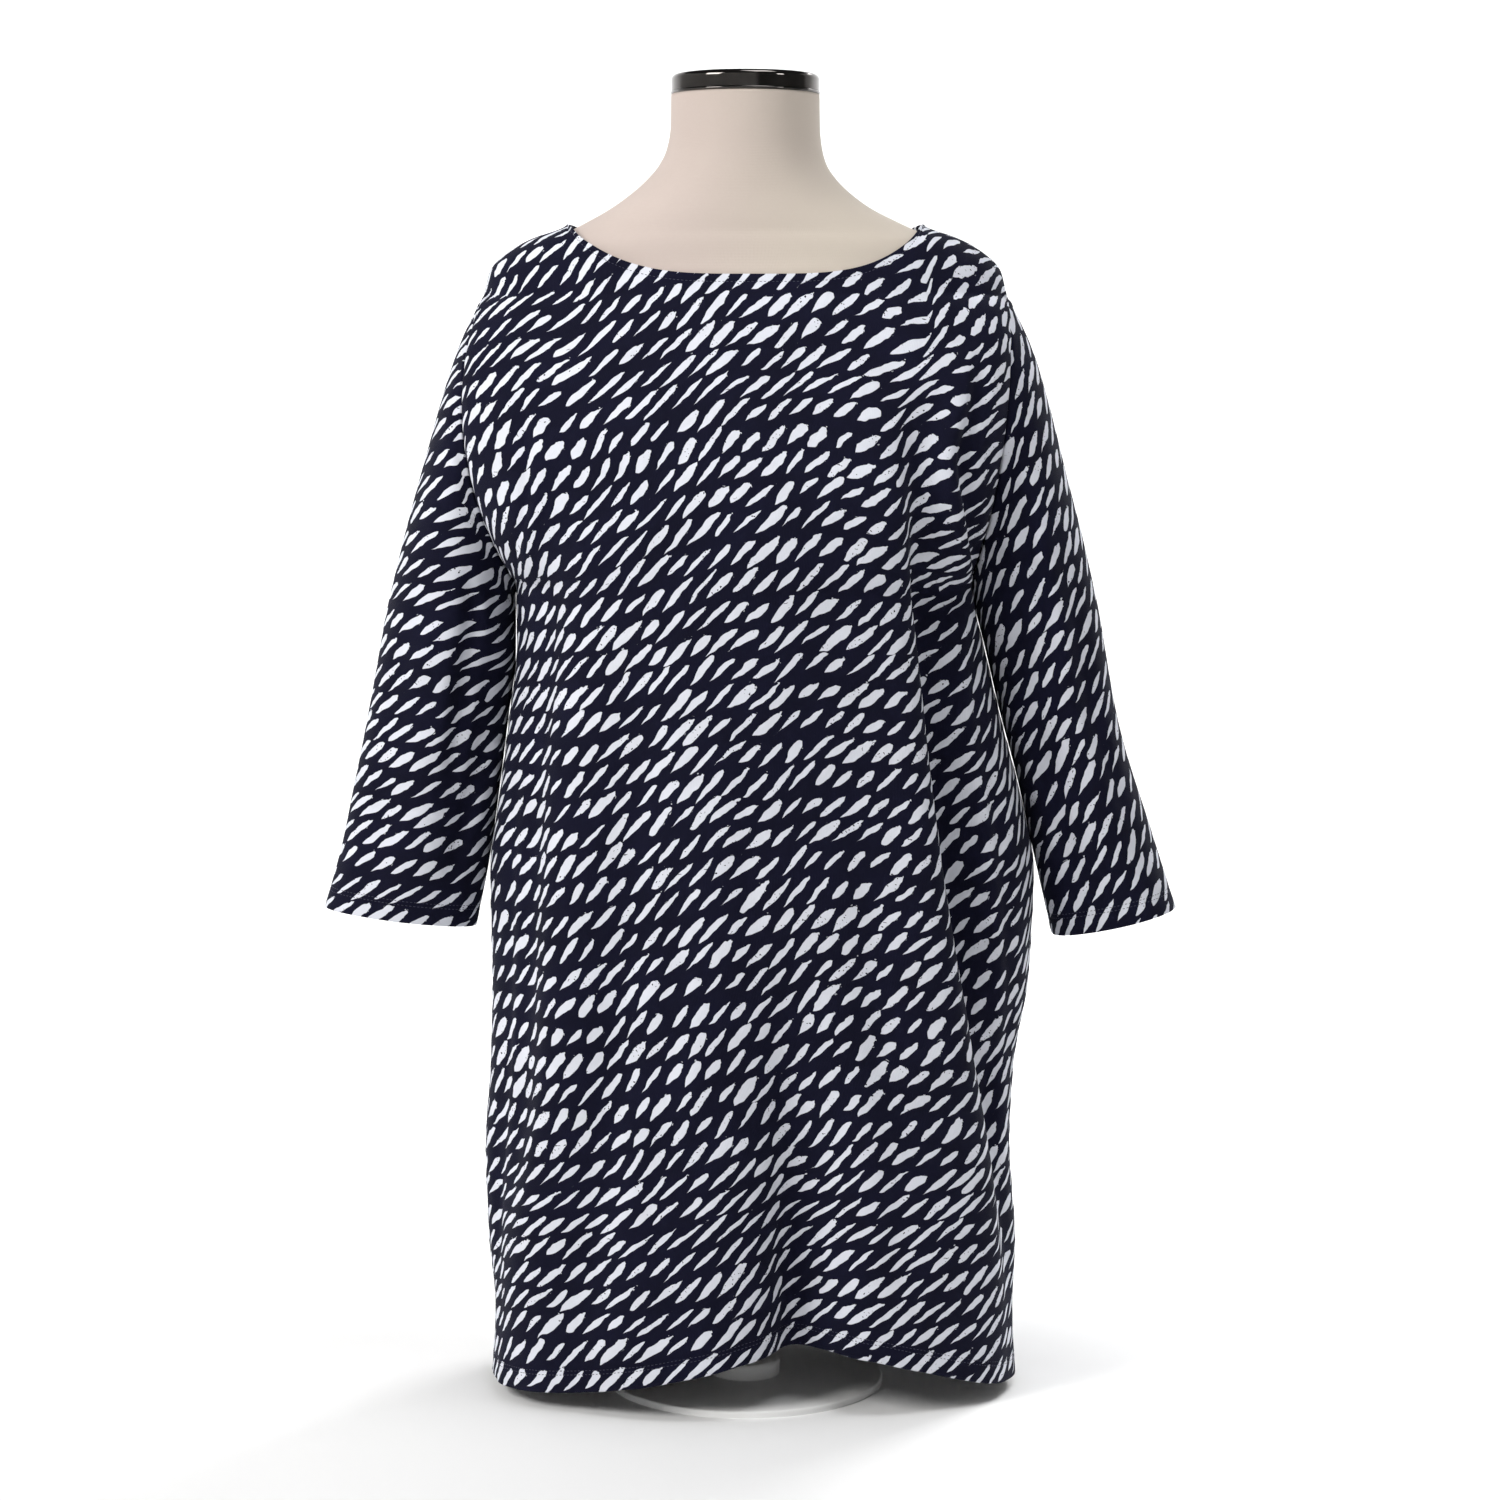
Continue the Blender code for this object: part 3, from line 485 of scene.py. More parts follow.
def follow_ridges(folds, turn, z):
    """Move a column's angle so that the column below each neck point follows that side's ridge."""
    neck = math.asin(NECK_HALF_WIDTH / SHOULDER_TIP_X)
    quarter = math.pi / 2
    right = ridge_turn(folds, "right_ridge", z, side_reach(z, "right"))
    left = ridge_turn(folds, "left_ridge", z, side_reach(z, "left"))
    beyond_right = -quarter + (right + quarter) * (turn + quarter) / (quarter - neck)
    beyond_left = quarter - (quarter - left) * (quarter - turn) / (quarter - neck)
    between = right + (left - right) * (turn + neck) / (2 * neck)
    return np.where(turn < -neck, beyond_right, np.where(turn > neck, beyond_left, between))


PanelCut = namedtuple("PanelCut", "facing folds creases hem centre_z curve depth")
FRONT = PanelCut(-1.0, FRONT_FOLDS, FRONT_CREASES, FRONT_HEM, FRONT_NECK_Z, FRONT_NECK_CURVE, "front")
BACK = PanelCut(1.0, BACK_FOLDS, BACK_CREASES, BACK_HEM, BACK_NECK_Z, BACK_NECK_CURVE, "back")


def panel_surface(cut, turn, level):
    """Points of a panel's outer face; turn and level are arrays of one shape."""
    top = top_edge(np.sin(turn) * SHOULDER_TIP_X, cut.centre_z, cut.curve)
    hem_z = np.full_like(turn, cut.hem[0].z)
    bottom = glide(cut.hem, "across", "z", np.sin(follow_ridges(cut.folds, turn, hem_z)))
    z = bottom + (top - bottom) * level
    turn = follow_ridges(cut.folds, turn, z)
    across = np.sin(turn)
    reach = reach_at(z, across)
    x = across * reach
    spread = np.where(z < SHOULDER_TIP_Z, reach, np.interp(z, SHOULDER_TRACE_Z, SHOULDER_TRACE_X))
    opening = ARMHOLE_HALF_DEPTH * np.sqrt(armhole_share(z))
    depth = glide(BODY, "z", cut.depth, z)
    roundness = np.sqrt(np.maximum(0.0, 1 - (x / spread) ** 2)) ** glide(BODY, "z", "square", z)
    y = opening + (depth - opening) * roundness
    free = ramp(1 - np.abs(across), 0.0, FOLD_FADE) * ramp(top - z, 0.0, FOLD_FADE)
    push = free * fold_push(cut.folds, x, z)
    out_x, out_y = depth * across, reach * np.cos(turn)
    length = np.maximum(np.hypot(out_x, out_y), 1e-9)
    return np.stack((x + push * out_x / length, cut.facing * (y + push * out_y / length), z), axis=-1)


def lengths_along(points, axis):
    """Running length of a grid of points along one of its two directions, from 0."""
    steps = np.linalg.norm(np.diff(points, axis=axis), axis=-1)
    start = np.zeros_like(np.take(steps, [0], axis=axis))
    return np.concatenate((start, np.cumsum(steps, axis=axis)), axis=axis)


def width_across(points):
    """Running width of the cloth across a grid's columns, measured square to the columns."""
    up = np.gradient(points, axis=0)
    up = up / np.maximum(np.linalg.norm(up, axis=-1, keepdims=True), 1e-12)
    up = (up[:, 1:] + up[:, :-1]) / 2
    steps = np.diff(points, axis=1)
    steps = steps - up * (steps * up).sum(axis=-1, keepdims=True)
    widths = np.linalg.norm(steps, axis=-1)
    return np.concatenate((np.zeros_like(widths[:, :1]), np.cumsum(widths, axis=1)), axis=1)


def surface_normals(points, outward):
    """Unit normals of a grid of points, turned to point away from the middle."""
    up = np.gradient(points, axis=0)
    side = np.gradient(points, axis=1)
    normals = np.cross(side, up)
    size = np.linalg.norm(normals, axis=-1, keepdims=True)
    return outward * normals / np.maximum(size, 1e-12)


def edge_rows(stitches, turned):
    """Distances from a turned edge at which the mesh has rows, to draw the hem and its stitches."""
    rows = [0.0, 0.0007, 0.0018, 0.0040]
    for stitch in stitches:
        rows += [stitch - 0.0010, stitch, stitch + 0.0010]
    rows += [turned - 0.0006, turned + 0.0008, turned + 0.0032]
    kept = [rows[0]]
    for place in sorted(rows[1:]):
        if place - kept[-1] > 0.0005:
            kept.append(place)
    return kept


def stitch_dents(distance, stitches):
    dent = 0.0
    for stitch in stitches:
        dent = dent + STITCH_DENT * bell(distance - stitch, STITCH_DENT_WIDTH)
    return dent


def unevenness(points, seed):
    """Slow rise and fall of worn cloth, longer up and down than across."""
    offset = Vector((seed * 7.3, seed * 3.1, seed * 5.7))
    flat = points.reshape(-1, 3)
    values = [noise.noise(Vector((p[0] * 15, p[1] * 15, p[2] * 6)) + offset)
              + 0.45 * noise.noise(Vector((p[0] * 38, p[1] * 38, p[2] * 17)) + offset) for p in flat]
    return np.array(values).reshape(points.shape[:-1])


def pucker(length, period, seed):
    """Small uneven gathers along a line of sewing."""
    return (np.sin(length * 2 * math.pi / period + 1.7 * seed + 1.3 * np.sin(length * 61 + seed))
            * (0.6 + 0.4 * np.sin(length * 37 + 2.1 * seed)))


def column_turns(at_shoulder, at_neck):
    """Angles across a panel, closer together beside its side edges."""
    neck = math.asin(NECK_HALF_WIDTH / SHOULDER_TIP_X)
    quarter = math.pi / 2
    shares = np.concatenate(([0.0, 0.004, 0.010, 0.020], np.linspace(0.034, 1.0, at_shoulder)))
    side = (quarter - neck) * shares
    middle = np.linspace(-neck, neck, at_neck)[1:-1]
    return np.concatenate((-quarter + side, middle, (quarter - side)[::-1]))


def make_sheet(name, outer, thick, rim_push, grain, material, outward):
    """A thin closed sheet: outer face, inner face and a rounded edge all round."""
    rows, columns = outer.shape[:2]
    normals = surface_normals(outer, outward)
    inner = outer - normals * thick[..., None]
    count = rows * columns
    ring = ([(0, j) for j in range(columns)] + [(i, columns - 1) for i in range(1, rows)]
            + [(rows - 1, j) for j in range(columns - 2, -1, -1)] + [(i, 0) for i in range(rows - 2, 0, -1)])
    inward = {}
    for i, j in ring:
        from_i = 1 if i == 0 else rows - 2 if i == rows - 1 else i
        from_j = 1 if j == 0 else columns - 2 if j == columns - 1 else j
        away = outer[i, j] - outer[from_i, from_j]
        away = away - normals[i, j] * np.dot(away, normals[i, j])
        inward[i, j] = away / max(np.linalg.norm(away), 1e-9)
    middle = [(outer[i, j] + inner[i, j]) / 2 + inward[i, j] * rim_push for i, j in ring]
    points = np.concatenate((outer.reshape(-1, 3), inner.reshape(-1, 3), np.array(middle)))
    faces = []
    for i in range(rows - 1):
        for j in range(columns - 1):
            a, b, c, d = (i * columns + j, i * columns + j + 1, (i + 1) * columns + j + 1, (i + 1) * columns + j)
            faces.append((a, b, c, d) if outward > 0 else (d, c, b, a))
            faces.append((count + d, count + c, count + b, count + a) if outward > 0
                         else (count + a, count + b, count + c, count + d))
    for k, (i, j) in enumerate(ring):
        n = (k + 1) % len(ring)
        here, after = i * columns + j, ring[n][0] * columns + ring[n][1]
        mid, mid_after = 2 * count + k, 2 * count + n
        faces.append((after, here, mid, mid_after) if outward > 0 else (here, after, mid_after, mid))
        faces.append((mid_after, mid, count + here, count + after) if outward > 0
                     else (mid, mid_after, count + after, count + here))
    ring_grain = [grain[i, j] for i, j in ring]
    marks = np.concatenate((grain.reshape(-1, 3), grain.reshape(-1, 3), np.array(ring_grain)))
    return mesh_object(name, points, faces, material, marks)


def mesh_object(name, points, faces, material, grain=None):
    data = bpy.data.meshes.new(name)
    data.from_pydata([tuple(p) for p in points], [], faces)
    data.validate()
    if grain is not None:
        marks = data.attributes.new("grain", "FLOAT_VECTOR", "POINT")
        marks.data.foreach_set("vector", np.asarray(grain, np.float32).ravel())
    data.materials.append(material)
    data.shade_smooth()
    made = bpy.data.objects.new(name, data)
    bpy.context.scene.collection.objects.link(made)
    return made


def settle(piece, slot, *nodes):
    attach(piece, "root")
    if nodes:
        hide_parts(*nodes)
    return piece


def stitch_line(path, normals):
    """Vertices and faces of a line of stitches that lies on a path."""
    steps = np.linalg.norm(np.diff(path, axis=0), axis=1)
    run = np.concatenate(([0.0], np.cumsum(steps)))
    count = int(run[-1] / STITCH_PITCH)
    points, faces = [], []

    def on_path(at, table):
        return np.array([np.interp(at, run, table[:, k]) for k in range(3)])

    for n in range(count):
        start = n * STITCH_PITCH + (STITCH_PITCH - STITCH_LENGTH) / 2
        ends = on_path(start, path), on_path(start + STITCH_LENGTH, path)
        up = on_path(start + STITCH_LENGTH / 2, normals)
        up = up / np.linalg.norm(up)
        along = (ends[1] - ends[0]) / max(np.linalg.norm(ends[1] - ends[0]), 1e-9)
        across = np.cross(up, along)
        base = len(points)
        points.append(ends[0] - up * THREAD_HALF_WIDTH)
        for share in (0.25, 0.75):
            centre = ends[0] + (ends[1] - ends[0]) * share + up * THREAD_LIFT
            for k in range(5):
                turn = 2 * math.pi * k / 5
                points.append(centre + THREAD_HALF_WIDTH * (across * math.cos(turn) + up * math.sin(turn)))
        points.append(ends[1] - up * THREAD_HALF_WIDTH)
        for k in range(5):
            m = (k + 1) % 5
            faces.append((base, base + 1 + m, base + 1 + k))
            faces.append((base + 1 + k, base + 1 + m, base + 6 + m, base + 6 + k))
            faces.append((base + 11, base + 6 + k, base + 6 + m))
    return points, faces


def make_stitching(name, lines, material):
    points, faces = [], []
    for path, normals in lines:
        more, more_faces = stitch_line(path, normals)
        faces += [tuple(v + len(points) for v in face) for face in more_faces]
        points += more
    return settle(mesh_object(name, points, faces, material), "jersey")


def make_panel(name, cut, columns, seed, material, thread):
    """The front or back of the tunic with its turned hem, turned neckline and sewing."""
    turns = column_turns(*columns)
    dense_levels = np.linspace(0, 1, DENSE_STEPS)
    turn_grid, level_grid = np.meshgrid(turns, dense_levels)
    dense = panel_surface(cut, turn_grid, level_grid)
    run = lengths_along(dense, 0)
    full = run[-1]

    top_x = np.sin(turns) * SHOULDER_TIP_X
    at_neck = ramp(NECK_HALF_WIDTH + 0.004 - np.abs(top_x), 0.0, 0.004)
    hem_rows = edge_rows(HEM_STITCHES, HEM_DEPTH)
    neck_rows = edge_rows(NECK_STITCHES, NECK_TURN)[::-1]
    middle_count = int((full.mean() - hem_rows[-1] - neck_rows[0]) / ROW_STEP)
    shares = 1 - (1 - np.linspace(0, 1, middle_count + 2)[1:-1]) ** TOP_CROWDING
    columns_count = len(turns)

    def level_at(length):
        return np.array([np.interp(length[j], run[:, j], dense_levels) for j in range(columns_count)])

    hem_levels = [level_at(place + 0 * full) for place in hem_rows]
    top_levels = [level_at(full - place) for place in neck_rows]
    middle_levels = [hem_levels[-1] + share * (top_levels[0] - hem_levels[-1]) for share in shares]
    levels = np.array(hem_levels + middle_levels + top_levels)
    along = np.stack([np.interp(levels[:, j], dense_levels, run[:, j]) for j in range(columns_count)], axis=1)
    points = panel_surface(cut, np.broadcast_to(turns, levels.shape), levels)
    across = width_across(points)
    centre = int(np.argmin(np.abs(turns)))
    across_from_centre = across - across[:, centre:centre + 1]
    outward = -cut.facing
    across_from_centre = across_from_centre * outward
    normals = surface_normals(points, outward)

    below_top = full - along
    from_right = across
    from_left = across[:, -1:] - across
    from_side = np.minimum(from_right, from_left)
    inset = ramp(from_side, 0.0, CREASE_FADE) * ramp(below_top, 0.0, CREASE_FADE * 1.5)
    push = inset * fold_push(cut.creases, points[..., 0], points[..., 2])
    push = push + inset * 0.0011 * unevenness(points, seed)
    side_dip = SEAM_DIP * (1 + 0.25 * pucker(along, 0.013, seed)) * bell(from_side, SEAM_WIDTH)
    side_puff = 0.0004 * bell(from_side - 0.0045, 0.0030) * (1 + pucker(along, 0.021, seed))
    shoulder_dip = (1 - at_neck) * SEAM_DIP * bell(below_top, SEAM_WIDTH)
    push = push - side_dip + side_puff - shoulder_dip
    push = push - stitch_dents(along, HEM_STITCHES)
    push = push + 0.0003 * bell(along - 0.007, 0.005) * (1 + 0.8 * pucker(across, 0.017, seed))
    push = push - at_neck * stitch_dents(below_top, NECK_STITCHES)
    hem_wave = ramp(0.05 - along, 0.0, 0.05) * ramp(from_side, 0.0, 0.03)
    push = push + 0.0012 * hem_wave * pucker(across, 0.083, seed + 2)
    outer = points + normals * push[..., None]
    neck_point = bell(np.abs(top_x) - NECK_HALF_WIDTH + 0.003, 0.0055) * bell(below_top, 0.0060)
    outer[..., 2] += NECK_POINT_RISE * neck_point

    in_hem = 1 - ramp(along, HEM_DEPTH - 0.0004, HEM_DEPTH + 0.0010)
    in_neck = at_neck * (1 - ramp(below_top, NECK_TURN - 0.0004, NECK_TURN + 0.0010))
    thick = LAYER + (HEM_LAYERS - LAYER) * np.maximum(in_hem, in_neck)
    thick = thick * (1 - 0.35 * bell(along, 0.0009)) * (1 - 0.35 * at_neck * bell(below_top, 0.0009))
    thick = np.where(from_side < 0.0004, LAYER, thick)
    hem_rise = points[0, :, 2] - points[0, :, 2].mean()
    grain = np.stack((across_from_centre, along + PRINT_LEVEL * hem_rise, np.full_like(along, seed)), axis=-1)
    sheet = settle(make_sheet(name, outer, thick, EDGE_ROUND, grain, material, outward), "jersey", name[:-6])

    outer_normals = surface_normals(outer, outward)
    lines = []
    for place in HEM_STITCHES:
        row = int(np.argmin(np.abs(along[:, centre] - place)))
        lines.append((outer[row, 1:-1], outer_normals[row, 1:-1]))
    neck_columns = np.where(at_neck > 0.9)[0]
    for place in NECK_STITCHES:
        row = int(np.argmin(np.abs(below_top[:, centre] - place)))
        lines.append((outer[row, neck_columns], outer_normals[row, neck_columns]))
    stitching = make_stitching(name[:-6] + "_stitching", lines, thread)
    return sheet, stitching


def sleeve_surface(flank, turn, along):
    """Points of a sleeve's outer face; turn is 0 at the outer edge and 90 degrees in front."""
    rows = SLEEVE[flank]
    out_x, out_z, in_x, in_z, half_depth = (
        glide(rows, "along", column, along) for column in ("out_x", "out_z", "in_x", "in_z", "half_depth"))
    lift, side = np.cos(turn), np.sin(turn)
    bow = ARMHOLE_BOW[flank] * side ** 2 * (1 - along) ** 2
    half_length = np.hypot(out_x - in_x, out_z - in_z) / 2
    degrees = np.degrees(turn)
    push = 0.0
    for fold in SLEEVE_FOLDS:
        if fold.flank == flank:
            from_ends = np.minimum(along - fold.start, fold.end - along)
            push = push - fold.depth * ramp(from_ends, 0.0, SLEEVE_FOLD_FADE) * bell(degrees - fold.turn, fold.width)
    swell = 1 + push * np.abs(lift) / half_length
    x = (out_x + in_x) / 2 + lift * swell * (out_x - in_x) / 2 + bow
    z = (out_z + in_z) / 2 + lift * swell * (out_z - in_z) / 2
    y = -side * (half_depth + push * np.abs(side))
    return np.stack((OUTWARD[flank] * x, y, z), axis=-1)


def sleeve_creases(flank, turn, along):
    degrees = np.degrees(turn)
    push = 0.0
    for crease in SLEEVE_CREASES:
        if crease.flank == flank:
            share = np.clip((along - crease.start) / (crease.end - crease.start), 0.0, 1.0)
            line = crease.turn_from + (crease.turn_to - crease.turn_from) * share
            from_ends = np.minimum(along - crease.start, crease.end - along)
            fade = ramp(from_ends, 0.0, SLEEVE_CREASE_FADE)
            push = push - crease.depth * fade * bell(degrees - line, crease.width)
            push = push + 0.45 * crease.depth * fade * bell(degrees - line - 1.9 * crease.width, crease.width)
    return push


def make_sleeve(name, flank, seed, material, thread):
    """A sleeve, cut open along its underarm seam and sewn, with a turned cuff."""
    start = math.pi
    turns = start + np.concatenate(([0.0, 0.006, 0.016, 0.032], np.linspace(0.06, 2 * math.pi - 0.06, SLEEVE_COLUMNS),
                                    2 * math.pi - np.array([0.032, 0.016, 0.006, 0.0])))
    turns = np.mod(turns, 2 * math.pi + 1e-12)
    turns[-1] = math.pi
    dense_along = np.linspace(0, 1, DENSE_STEPS)
    turn_grid, along_grid = np.meshgrid(turns, dense_along)
    dense = sleeve_surface(flank, turn_grid, along_grid)
    run = lengths_along(dense, 0)
    full = run[-1]
    cuff_rows = edge_rows(HEM_STITCHES, HEM_DEPTH)[::-1]
    middle_count = int((full.mean() - cuff_rows[0] - EDGE_ROWS[-1]) / ROW_STEP)
    shares = np.linspace(0, 1, middle_count + 2)[1:-1]
    from_armhole = np.array(EDGE_ROWS)[:, None] + 0 * full
    between = EDGE_ROWS[-1] + shares[:, None] * (full - EDGE_ROWS[-1] - cuff_rows[0])
    from_cuff = full - np.array(cuff_rows)[:, None]
    place = np.concatenate((from_armhole, between, from_cuff))
    along = np.stack([np.interp(place[:, j], run[:, j], dense_along) for j in range(len(turns))], axis=1)
    turn_grid = np.broadcast_to(turns, along.shape)
    points = sleeve_surface(flank, turn_grid, along)
    around = width_across(points)
    middle = around.shape[1] // 2
    outward = -1.0 if flank == "right" else 1.0
    normals = surface_normals(points, outward)
    outside = points - points.mean(axis=1, keepdims=True)
    if (normals * outside).sum() < 0:
        outward = -outward
        normals = -normals

    to_cuff = full - place
    from_seam = np.minimum(around, around[:, -1:] - around)
    inset = ramp(place, 0.0, 0.03) * ramp(from_seam, 0.0, CREASE_FADE)
    push = inset * sleeve_creases(flank, turn_grid, along)
    push = push + inset * 0.0010 * unevenness(points, seed)
    push = push - SEAM_DIP * (1 + 0.25 * pucker(around, 0.013, seed)) * bell(place, SEAM_WIDTH)
    push = push + 0.0005 * bell(place - 0.005, 0.0035) * (1 + pucker(around, 0.019, seed))
    push = push - SEAM_DIP * bell(from_seam, SEAM_WIDTH)
    push = push - stitch_dents(to_cuff, HEM_STITCHES)
    push = push + 0.0003 * bell(to_cuff - 0.007, 0.005) * (1 + 0.8 * pucker(around, 0.017, seed))
    outer = points + normals * push[..., None]
    in_hem = 1 - ramp(to_cuff, HEM_DEPTH - 0.0004, HEM_DEPTH + 0.0010)
    thick = LAYER + (HEM_LAYERS - LAYER) * in_hem
    thick = thick * (1 - 0.35 * bell(to_cuff, 0.0009))
    thick = np.where(from_seam < 0.0004, LAYER, thick)
    across = around - around[:, middle:middle + 1]
    if flank == "left":
        across = -across
    turned_by = math.radians(PRINT_TURN[flank])
    print_u = across * math.cos(turned_by) + to_cuff * math.sin(turned_by)
    print_v = to_cuff * math.cos(turned_by) - across * math.sin(turned_by)
    grain = np.stack((print_u, print_v, np.full_like(across, seed)), axis=-1)
    sheet = settle(make_sheet(name, outer, thick, EDGE_ROUND, grain, material, outward), "jersey", name[:-6])
    outer_normals = surface_normals(outer, outward)
    lines = []
    for stitch in HEM_STITCHES:
        row = int(np.argmin(np.abs(to_cuff[:, middle] - stitch)))
        lines.append((outer[row], outer_normals[row]))
    stitching = make_stitching(name[:-6] + "_stitching", lines, thread)
    return sheet, stitching


def make_form(material):
    """Torso and neck of the dress form, one smooth stretched cover."""
    heights = np.concatenate((np.linspace(FORM[0].z, 0.84, 100)[:-1], np.linspace(0.84, FORM[-1].z, FORM_RINGS - 99)))
    turns = np.linspace(0, 2 * math.pi, FORM_SIDES, endpoint=False)
    height_grid, turn_grid = np.meshgrid(heights, turns, indexing="ij")
    clear = FORM_CLEAR * (1 - ramp(height_grid, FORM_COVERED_Z, FORM_COVERED_Z + 0.02))
    side = np.where(np.sin(turn_grid) < 0, glide(FORM, "z", "right", height_grid), glide(FORM, "z", "left", height_grid))
    depth = np.where(np.cos(turn_grid) > 0, glide(FORM, "z", "front", height_grid), glide(FORM, "z", "back", height_grid))
    x = (side - clear) * np.sin(turn_grid)
    y = -(depth - clear) * np.cos(turn_grid)
    points = np.stack((x, y, height_grid), axis=-1).reshape(-1, 3)
    faces = []
    for i in range(len(heights) - 1):
        for j in range(FORM_SIDES):
            k = (j + 1) % FORM_SIDES
            faces.append((i * FORM_SIDES + j, i * FORM_SIDES + k, (i + 1) * FORM_SIDES + k, (i + 1) * FORM_SIDES + j))
    faces.append(tuple(range(FORM_SIDES))[::-1])
    top = (len(heights) - 1) * FORM_SIDES
    faces.append(tuple(top + j for j in range(FORM_SIDES)))
    return settle(mesh_object("form_cover", points, faces, material), "form_fabric", "form_torso")


def rounded_edge(radius, height, edge, steps):
    angles = [math.pi / 2 * i / steps for i in range(steps + 1)]
    return [(radius - edge + edge * math.cos(a), height - edge + edge * math.sin(a)) for a in angles]


def turned(name, profile, base_z, material, slot, node):
    """A round piece about the Z axis from (radius, height) pairs, bottom to top."""
    points = []
    for radius, height in profile:
        for i in range(TURNED_SIDES):
            turn = 2 * math.pi * i / TURNED_SIDES
            points.append((radius * math.cos(turn), radius * math.sin(turn), base_z + height))
    faces = []
    for i in range(len(profile) - 1):
        for j in range(TURNED_SIDES):
            k = (j + 1) % TURNED_SIDES
            low, high = i * TURNED_SIDES, (i + 1) * TURNED_SIDES
            faces.append((low + j, low + k, high + k, high + j))
    faces.append(tuple(range(TURNED_SIDES))[::-1])
    top = (len(profile) - 1) * TURNED_SIDES
    faces.append(tuple(top + j for j in range(TURNED_SIDES)))
    made = mesh_object(name, points, faces, material)
    made.data.set_sharp_from_angle(angle=math.radians(35))
    return settle(made, slot, node)


class Graph:
    """Short names for the nodes of one material."""

    def __init__(self, name):
        self.material = bpy.data.materials.new(name)
        self.material.use_nodes = True
        self.tree = self.material.node_tree
        self.shader = self.tree.nodes["Principled BSDF"]

    def link(self, source, socket):
        self.tree.links.new(source, socket)

    def add(self, kind, inputs=(), **settings):
        node = self.tree.nodes.new(kind)
        for key, value in settings.items():
            setattr(node, key, value)
        for key, value in dict(inputs).items():
            self.put(node.inputs[key], value)
        return node

    def put(self, socket, value):
        if isinstance(value, bpy.types.NodeSocket):
            self.link(value, socket)
        else:
            socket.default_value = value

    def math(self, operation, a, b=0.0, c=0.0):
        node = self.add("ShaderNodeMath", operation=operation)
        for socket, value in zip(node.inputs, (a, b, c)):
            self.put(socket, value)
        return node.outputs[0]

    def between(self, value, low, high):
        """0 at low and 1 at high, smoothly."""
        node = self.add("ShaderNodeMapRange", interpolation_type="SMOOTHSTEP")
        for socket, given in zip(node.inputs, (value, low, high, 0.0, 1.0)):
            self.put(socket, given)
        return node.outputs[0]

    def mix(self, share, first, second):
        node = self.add("ShaderNodeMix", data_type="RGBA")
        self.put(node.inputs["Factor"], share)
        self.put(node.inputs["A"], first)
        self.put(node.inputs["B"], second)
        return node.outputs["Result"]

    def vector(self, x, y, z):
        node = self.add("ShaderNodeCombineXYZ")
        for socket, value in zip(node.inputs, (x, y, z)):
            self.put(socket, value)
        return node.outputs[0]

    def noise(self, vector, scale, detail=2.0):
        node = self.add("ShaderNodeTexNoise", inputs={"Vector": vector, "Scale": scale, "Detail": detail})
        return node.outputs["Fac"]

    def bump(self, height, distance, strength=1.0):
        node = self.add("ShaderNodeBump", inputs={"Height": height, "Distance": distance, "Strength": strength})
        return node.outputs["Normal"]


# The print: rows of slanted brush dabs, one to a cell of a leaning grid. Even and odd rows are
# drawn apart, so that the dabs of neighbouring rows can lie side by side.
DAB_ROW = 0.0206
DAB_PITCH = 0.0160
DAB_SLANT = math.radians(41)
DAB_ROW_RISE = 0.10
DAB_HALF_LENGTH = 0.0152
DAB_HALF_WIDTH = 0.0038
WARP_SIZE = 0.0046
WARP_SCALE = 10.0
WALE = 0.0011
COURSE = 0.0009


